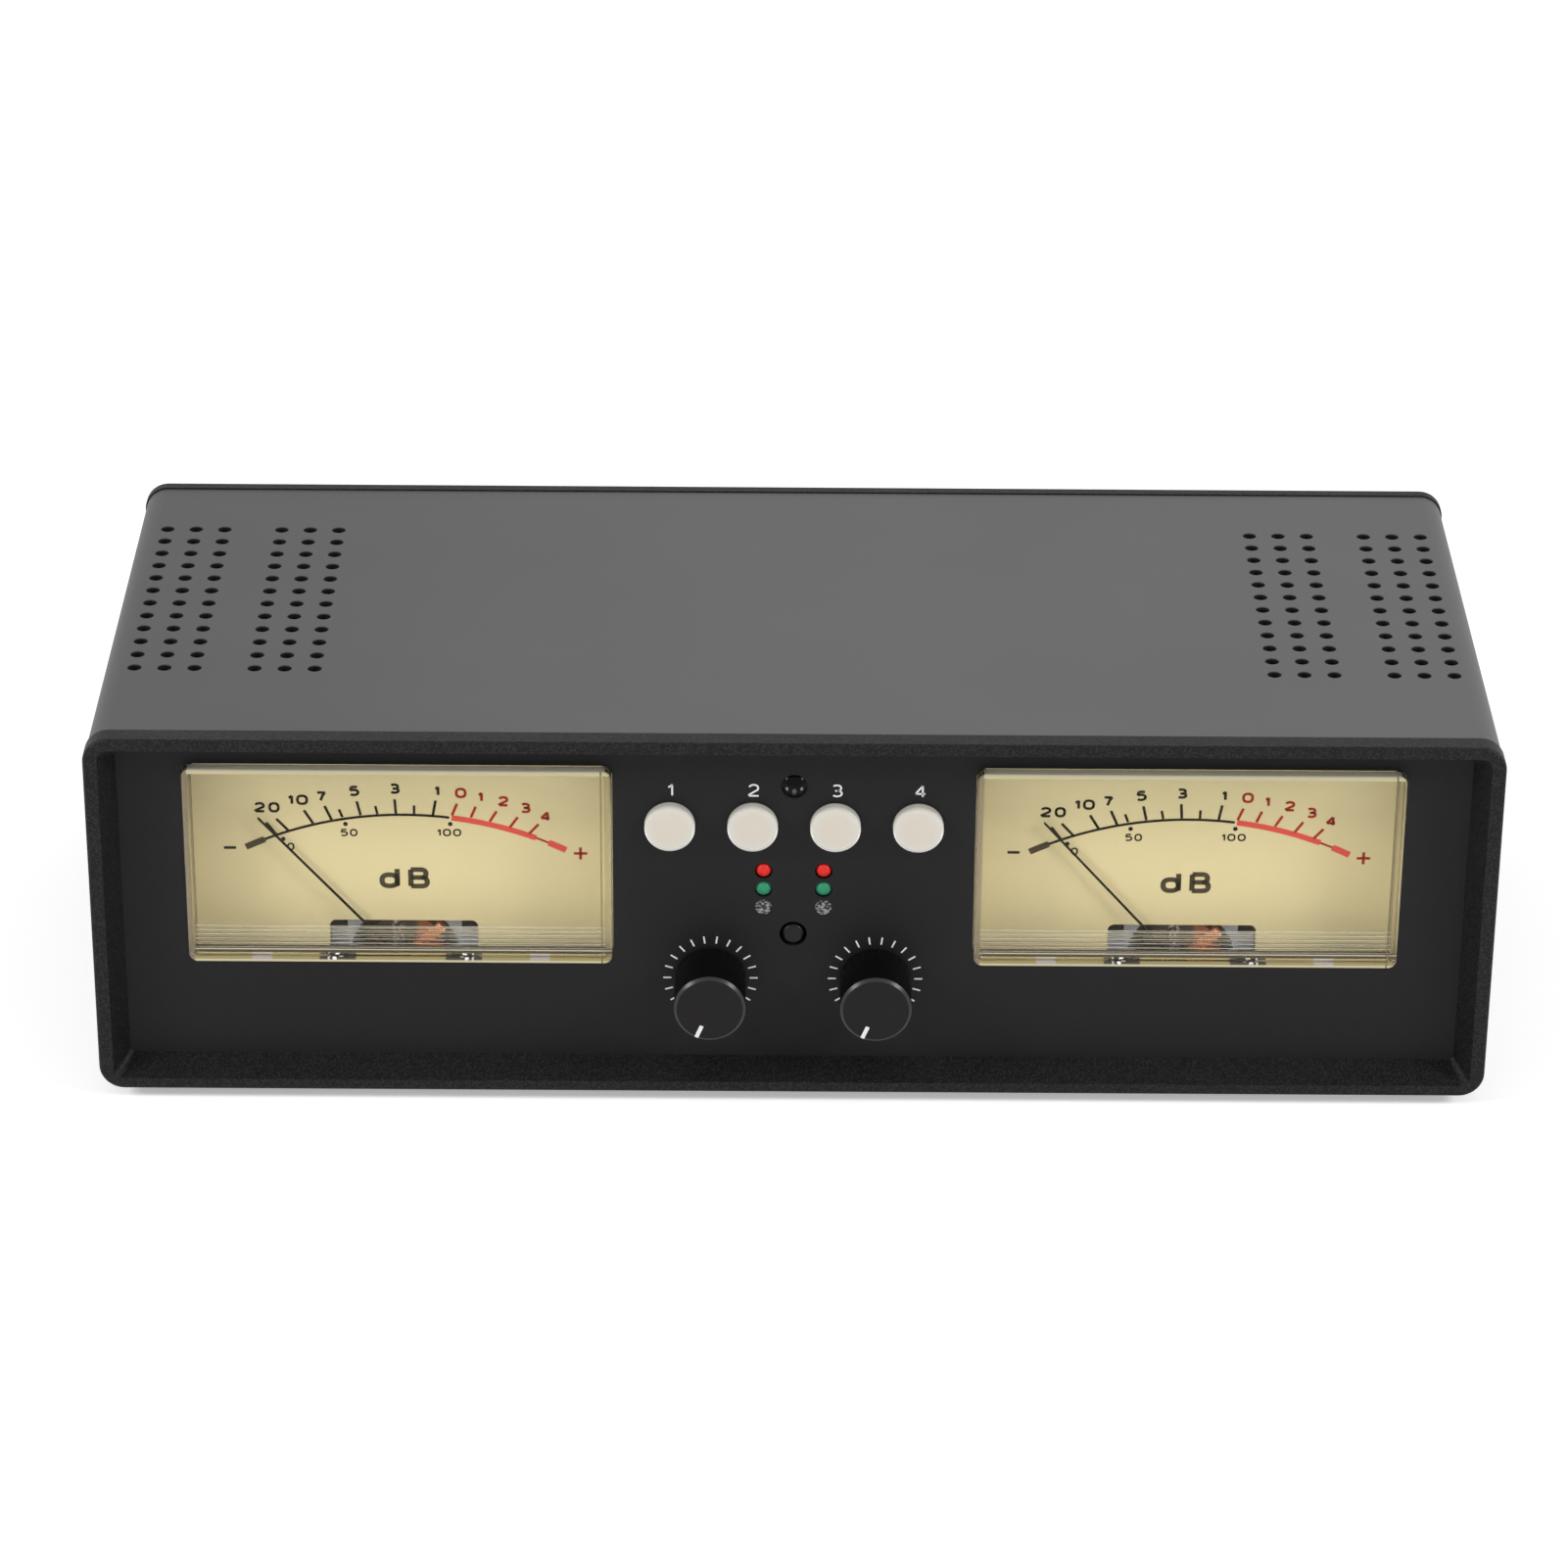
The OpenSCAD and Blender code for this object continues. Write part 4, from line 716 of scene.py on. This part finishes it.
class Print:
    """Flat marks of one ink on a plane that faces the front, gathered into one mesh."""

    def __init__(self, y, origin_x=0.0):
        self.mesh = bmesh.new()
        self.y = y
        self.origin_x = origin_x

    def ribbon(self, left, right, closed=False):
        """A closed thin solid between two rows of points in x and z."""
        rings = []
        for (lx, lz), (rx, rz) in zip(left, right):
            corners = ((lx, lz, INK_LIFT), (rx, rz, INK_LIFT), (rx, rz, 0.0), (lx, lz, 0.0))
            rings.append([self.mesh.verts.new(at(self.origin_x + x, self.y - lift, z))
                          for x, z, lift in corners])
        pairs = list(zip(rings, rings[1:]))
        if closed:
            pairs.append((rings[-1], rings[0]))
        else:
            self.mesh.faces.new(rings[0])
            self.mesh.faces.new(reversed(rings[-1]))
        for first, second in pairs:
            for k in range(4):
                j = (k + 1) % 4
                self.mesh.faces.new((first[k], second[k], second[j], first[j]))

    def stroke(self, points, width):
        """A line of even width through points, with mitred corners and square ends."""
        closed = math.dist(points[0], points[-1]) < SAME_POINT
        if closed:
            points = points[:-1]
        count = len(points)
        left = []
        right = []
        for n, (x, z) in enumerate(points):
            before = points[n - 1] if closed or n else points[0]
            after = points[(n + 1) % count] if closed or n < count - 1 else points[n]
            runs = [Vector((b[0] - a[0], b[1] - a[1])).normalized()
                    for a, b in ((before, (x, z)), ((x, z), after)) if math.dist(a, b) > SAME_POINT]
            along = sum(runs, Vector((0.0, 0.0))).normalized()
            side = Vector((-along.y, along.x)) * width / 2 / max(0.5, along.dot(runs[0]))
            left.append((x + side.x, z + side.y))
            right.append((x - side.x, z - side.y))
        self.ribbon(left, right, closed)

    def band(self, half_w, turns, steps=40):
        """Part of the scale's arc, from one turn to another."""
        start, end = turns
        angles = [math.radians(start + (end - start) * n / steps) for n in range(steps + 1)]
        self.ribbon(*[[(SCALE_CENTRE[0] + r * math.sin(a), SCALE_CENTRE[1] + r * math.cos(a))
                       for a in angles] for r in (SCALE_R - half_w, SCALE_R + half_w)])

    def dot(self, centre, radius, steps=12):
        """A round spot, from chords across it."""
        turns = [math.pi * (n + 0.2) / (steps + 0.4) for n in range(steps + 1)]
        self.ribbon(*[[(centre[0] - radius * math.cos(a), centre[1] + side * radius * math.sin(a))
                       for a in turns] for side in (-1, 1)])

    def letter(self, character, centre, width, height, weight):
        """One character that fills a box of a given width and height."""
        for points in STROKES[character]:
            self.stroke([(centre[0] + (u - 0.5) * (width - weight),
                          centre[1] + (v - 0.5) * (height - weight)) for u, v in points], weight)

    def number(self, text, centre, width, height, weight, gap):
        """Characters side by side, over a given width in all. A 1 is half as wide as the rest."""
        shares = [0.5 if c == "1" else 1.0 for c in text]
        unit = (width - gap * (len(text) - 1)) / sum(shares)
        x = centre[0] - width / 2
        for character, share in zip(text, shares):
            self.letter(character, (x + unit * share / 2, centre[1]), unit * share, height, weight)
            x += unit * share + gap

    def finish(self, name, material, body):
        """Turns the marks into a piece that rides on a body."""
        bmesh.ops.recalc_face_normals(self.mesh, faces=self.mesh.faces[:])
        data = bpy.data.meshes.new(name)
        self.mesh.to_mesh(data)
        self.mesh.free()
        data.materials.append(material)
        piece = bpy.data.objects.new(name, data)
        bpy.context.scene.collection.objects.link(piece)
        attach(piece, body)


# The dial's marks, x from the middle of the meter and z from the underside of the case.
# H is a height, W the width of a line, and GAP what lies between two characters.
SCALE_CENTRE = (0.5, -14.6)
SCALE_R = 64.0
BAND_HALF_W = 0.55
END_HALF_W = 0.62
THIN_HALF_W = 0.2
# Turns of the arc's pieces, in degrees clockwise from the top
DARK_END_TURNS = (-26.4, -23.0)
DARK_LINE_TURNS = (-23.0, 7.3)
RED_BAND_TURNS = (7.65, 21.65)
RED_LINE_TURNS = (21.65, 23.8)
RED_END_TURNS = (23.8, 26.9)
LINE_W = 0.5
TICK_W = 0.5
FINE_W = 0.46
BLACK_TICKS = (
    ((-24.18, 47.71), TICK_W), ((-22.33, 48.45), TICK_W), ((-17.32, 50.18), TICK_W),
    ((-13.61, 51.08), TICK_W), ((-11.06, 50.41), FINE_W), ((-7.85, 52.04), TICK_W),
    ((-4.55, 51.14), FINE_W), ((-1.08, 52.5), TICK_W), ((2.39, 51.29), FINE_W),
    ((6.24, 52.3), TICK_W),
)
RED_TICKS = ((10.06, 51.7), (13.39, 51.11), (17.11, 50.23), (20.87, 49.05), (24.57, 47.66))
TICK_FEET = (
    (-22.44, 45.37), (-20.27, 46.14), (-15.74, 47.53), (-12.42, 48.31), (-10.46, 48.83),
    (-7.21, 49.25), (-4.2, 49.51), (-0.89, 49.65), (2.35, 49.53), (5.69, 49.28),
)
RED_FEET = ((9.12, 49.36), (12.48, 48.93), (15.86, 48.15), (19.42, 46.97), (22.87, 45.75))
BLACK_NUMBERS = (
    ("20", (-23.92, 50.73), 4.6), ("10", (-18.37, 52.28), 3.75), ("7", (-14.15, 52.96), 1.9),
    ("5", (-8.28, 54.12), 1.95), ("3", (-1.06, 54.63), 1.95), ("1", (6.48, 54.23), 1.0),
)
RED_NUMBERS = (
    ("0", (10.77, 53.84), 2.1), ("1", (14.22, 53.08), 1.0), ("2", (18.36, 52.23), 1.95),
    ("3", (22.23, 50.92), 1.95), ("4", (25.83, 49.25), 2.0),
)
NUMBER_H = 2.1
NUMBER_W = 0.5
NUMBER_GAP = 0.5
DOT_R = 0.42
DOTS = ((-21.21, 44.37), (-9.97, 47.47), (8.77, 47.6))
SMALL_NUMBERS = (("0", (-19.89, 42.87), 1.3), ("50", (-9.41, 45.74), 3.1),
                 ("100", (8.52, 45.86), 4.4))
SMALL_H = 1.5
SMALL_W = 0.31
SMALL_GAP = 0.35
UNIT_LETTERS = (("d", (-2.35, 36.7), (3.7, 4.4)), ("B", (2.95, 36.65), (3.9, 4.3)))
UNIT_W = 0.95
MINUS = ((-31.9, 42.57), (-29.7, 42.57))
MINUS_W = 0.55
PLUS = (((30.8, 41.81), (33.26, 41.81)), ((32.03, 40.6), (32.03, 43.02)))
PLUS_W = 0.5


def print_dial(side, sign, inks):
    """The scale of one meter: two rows of numbers over and under a long flat arc."""
    dark = Print(DIAL_Y, sign * METER_X)
    for (top, width), foot in zip(BLACK_TICKS, TICK_FEET):
        dark.stroke([top, foot], width)
    dark.band(LINE_W / 2, DARK_LINE_TURNS)
    for text, centre, width in BLACK_NUMBERS:
        dark.number(text, centre, width, NUMBER_H, NUMBER_W, NUMBER_GAP)
    for text, centre, width in SMALL_NUMBERS:
        dark.number(text, centre, width, SMALL_H, SMALL_W, SMALL_GAP)
    for centre in DOTS:
        dark.dot(centre, DOT_R)
    dark.stroke(MINUS, MINUS_W)
    dark.finish(side + "_dial_print_dark", inks["dark"], "case")

    grey = Print(DIAL_Y, sign * METER_X)
    grey.band(END_HALF_W, DARK_END_TURNS, 8)
    for character, centre, (width, height) in UNIT_LETTERS:
        grey.letter(character, centre, width, height, UNIT_W)
    grey.finish(side + "_dial_print_grey", inks["grey"], "case")

    red = Print(DIAL_Y, sign * METER_X)
    for top, foot in zip(RED_TICKS, RED_FEET):
        red.stroke([top, foot], TICK_W)
    red.band(THIN_HALF_W, RED_LINE_TURNS, 8)
    for text, centre, width in RED_NUMBERS:
        red.number(text, centre, width, NUMBER_H, NUMBER_W, NUMBER_GAP)
    for line in PLUS:
        red.stroke(line, PLUS_W)
    red.finish(side + "_dial_print_red", inks["red"], "case")

    bright = Print(DIAL_Y, sign * METER_X)
    bright.band(BAND_HALF_W, RED_BAND_TURNS)
    bright.band(END_HALF_W, RED_END_TURNS, 8)
    bright.finish(side + "_dial_print_band", inks["bright"], "case")


RING_TICKS = 18
RING_FIRST = -139.1
RING_STEP = 16.36
RING_SPAN = (7.05, 8.5)
RING_W = 0.28
BUTTON_NUMBERS = (("1", -21.95, 1.0), ("2", -7.15, 2.0), ("3", 7.55, 2.0), ("4", 22.3, 2.0))
BUTTON_NUMBER_Z = 58.7
BUTTON_NUMBER_H = 2.5
BUTTON_NUMBER_W = 0.32


def print_panel(inks):
    """White marks of the front panel: numbers over the buttons and a ring of ticks at each knob."""
    marks = Print(PANEL_Y)
    for text, x, width in BUTTON_NUMBERS:
        marks.letter(text, (x, BUTTON_NUMBER_Z), width, BUTTON_NUMBER_H, BUTTON_NUMBER_W)
    for _, sign in SIDES:
        for n in range(RING_TICKS):
            turn = math.radians(RING_FIRST + n * RING_STEP)
            marks.stroke([(sign * KNOB_X + r * math.sin(turn), KNOB_Z + r * math.cos(turn))
                          for r in RING_SPAN], RING_W)
    marks.finish("panel_print", inks["white"], "case")


POINTER_TURN = -157.0
POINTER_SPAN = (3.6, 6.1)
POINTER_W = 0.72


def print_pointer(side, sign, inks):
    """The white line on the face of a knob, at the low end of its turn."""
    turn = math.radians(POINTER_TURN)
    pointer = Print(KNOB_FACE_Y, sign * KNOB_X)
    pointer.stroke([(r * math.sin(turn), KNOB_Z + r * math.cos(turn)) for r in POINTER_SPAN],
                   POINTER_W)
    pointer.finish(side + "_knob_pointer", inks["white"], side + "_knob_body")


# ---- Floor and whole scene ----

FLOOR_SIZE = 3.0
FLOOR_FILL = 0.36


def make_floor():
    """A wide pale floor that stays white up to the object's shadow."""
    grid = bmesh.new()
    bmesh.ops.create_grid(grid, x_segments=2, y_segments=2, size=FLOOR_SIZE)
    data = bpy.data.meshes.new("floor")
    grid.to_mesh(data)
    grid.free()
    look = Look("floor_white", roughness=0.9, specular_ior_level=0.0, emission_strength=FLOOR_FILL)
    look.tint(look.grain(40.0), (0.93, 0.93, 0.93), (0.95, 0.95, 0.95))
    look.set("Emission Color", look.mix(seen_directly(look.tree), (0.0, 0.0, 0.0), (1.0, 1.0, 1.0)))
    data.materials.append(look.material)
    floor = bpy.data.objects.new("floor", data)
    bpy.context.scene.collection.objects.link(floor)


def main():
    make_camera()
    make_world()
    for name, sign in SIDES:
        place = (sign * SOFTBOX_PLACE[0], *SOFTBOX_PLACE[1:])
        make_softbox(name + "_softbox", place)
    make_floor()
    dress_nodes()
    inks = {
        "dark": ink("dial_ink_dark", (0.003, 0.0026, 0.002)),
        "grey": ink("dial_ink_grey", (0.052, 0.042, 0.025)),
        "red": ink("dial_ink_red", (0.36, 0.012, 0.006)),
        "bright": ink("dial_ink_bright", (0.69, 0.075, 0.06)),
        "white": ink("panel_ink_white", (0.85, 0.85, 0.83)),
    }
    for side, sign in SIDES:
        print_dial(side, sign, inks)
        print_pointer(side, sign, inks)
    print_panel(inks)
    bpy.context.scene.view_settings.view_transform = "Standard"


main()
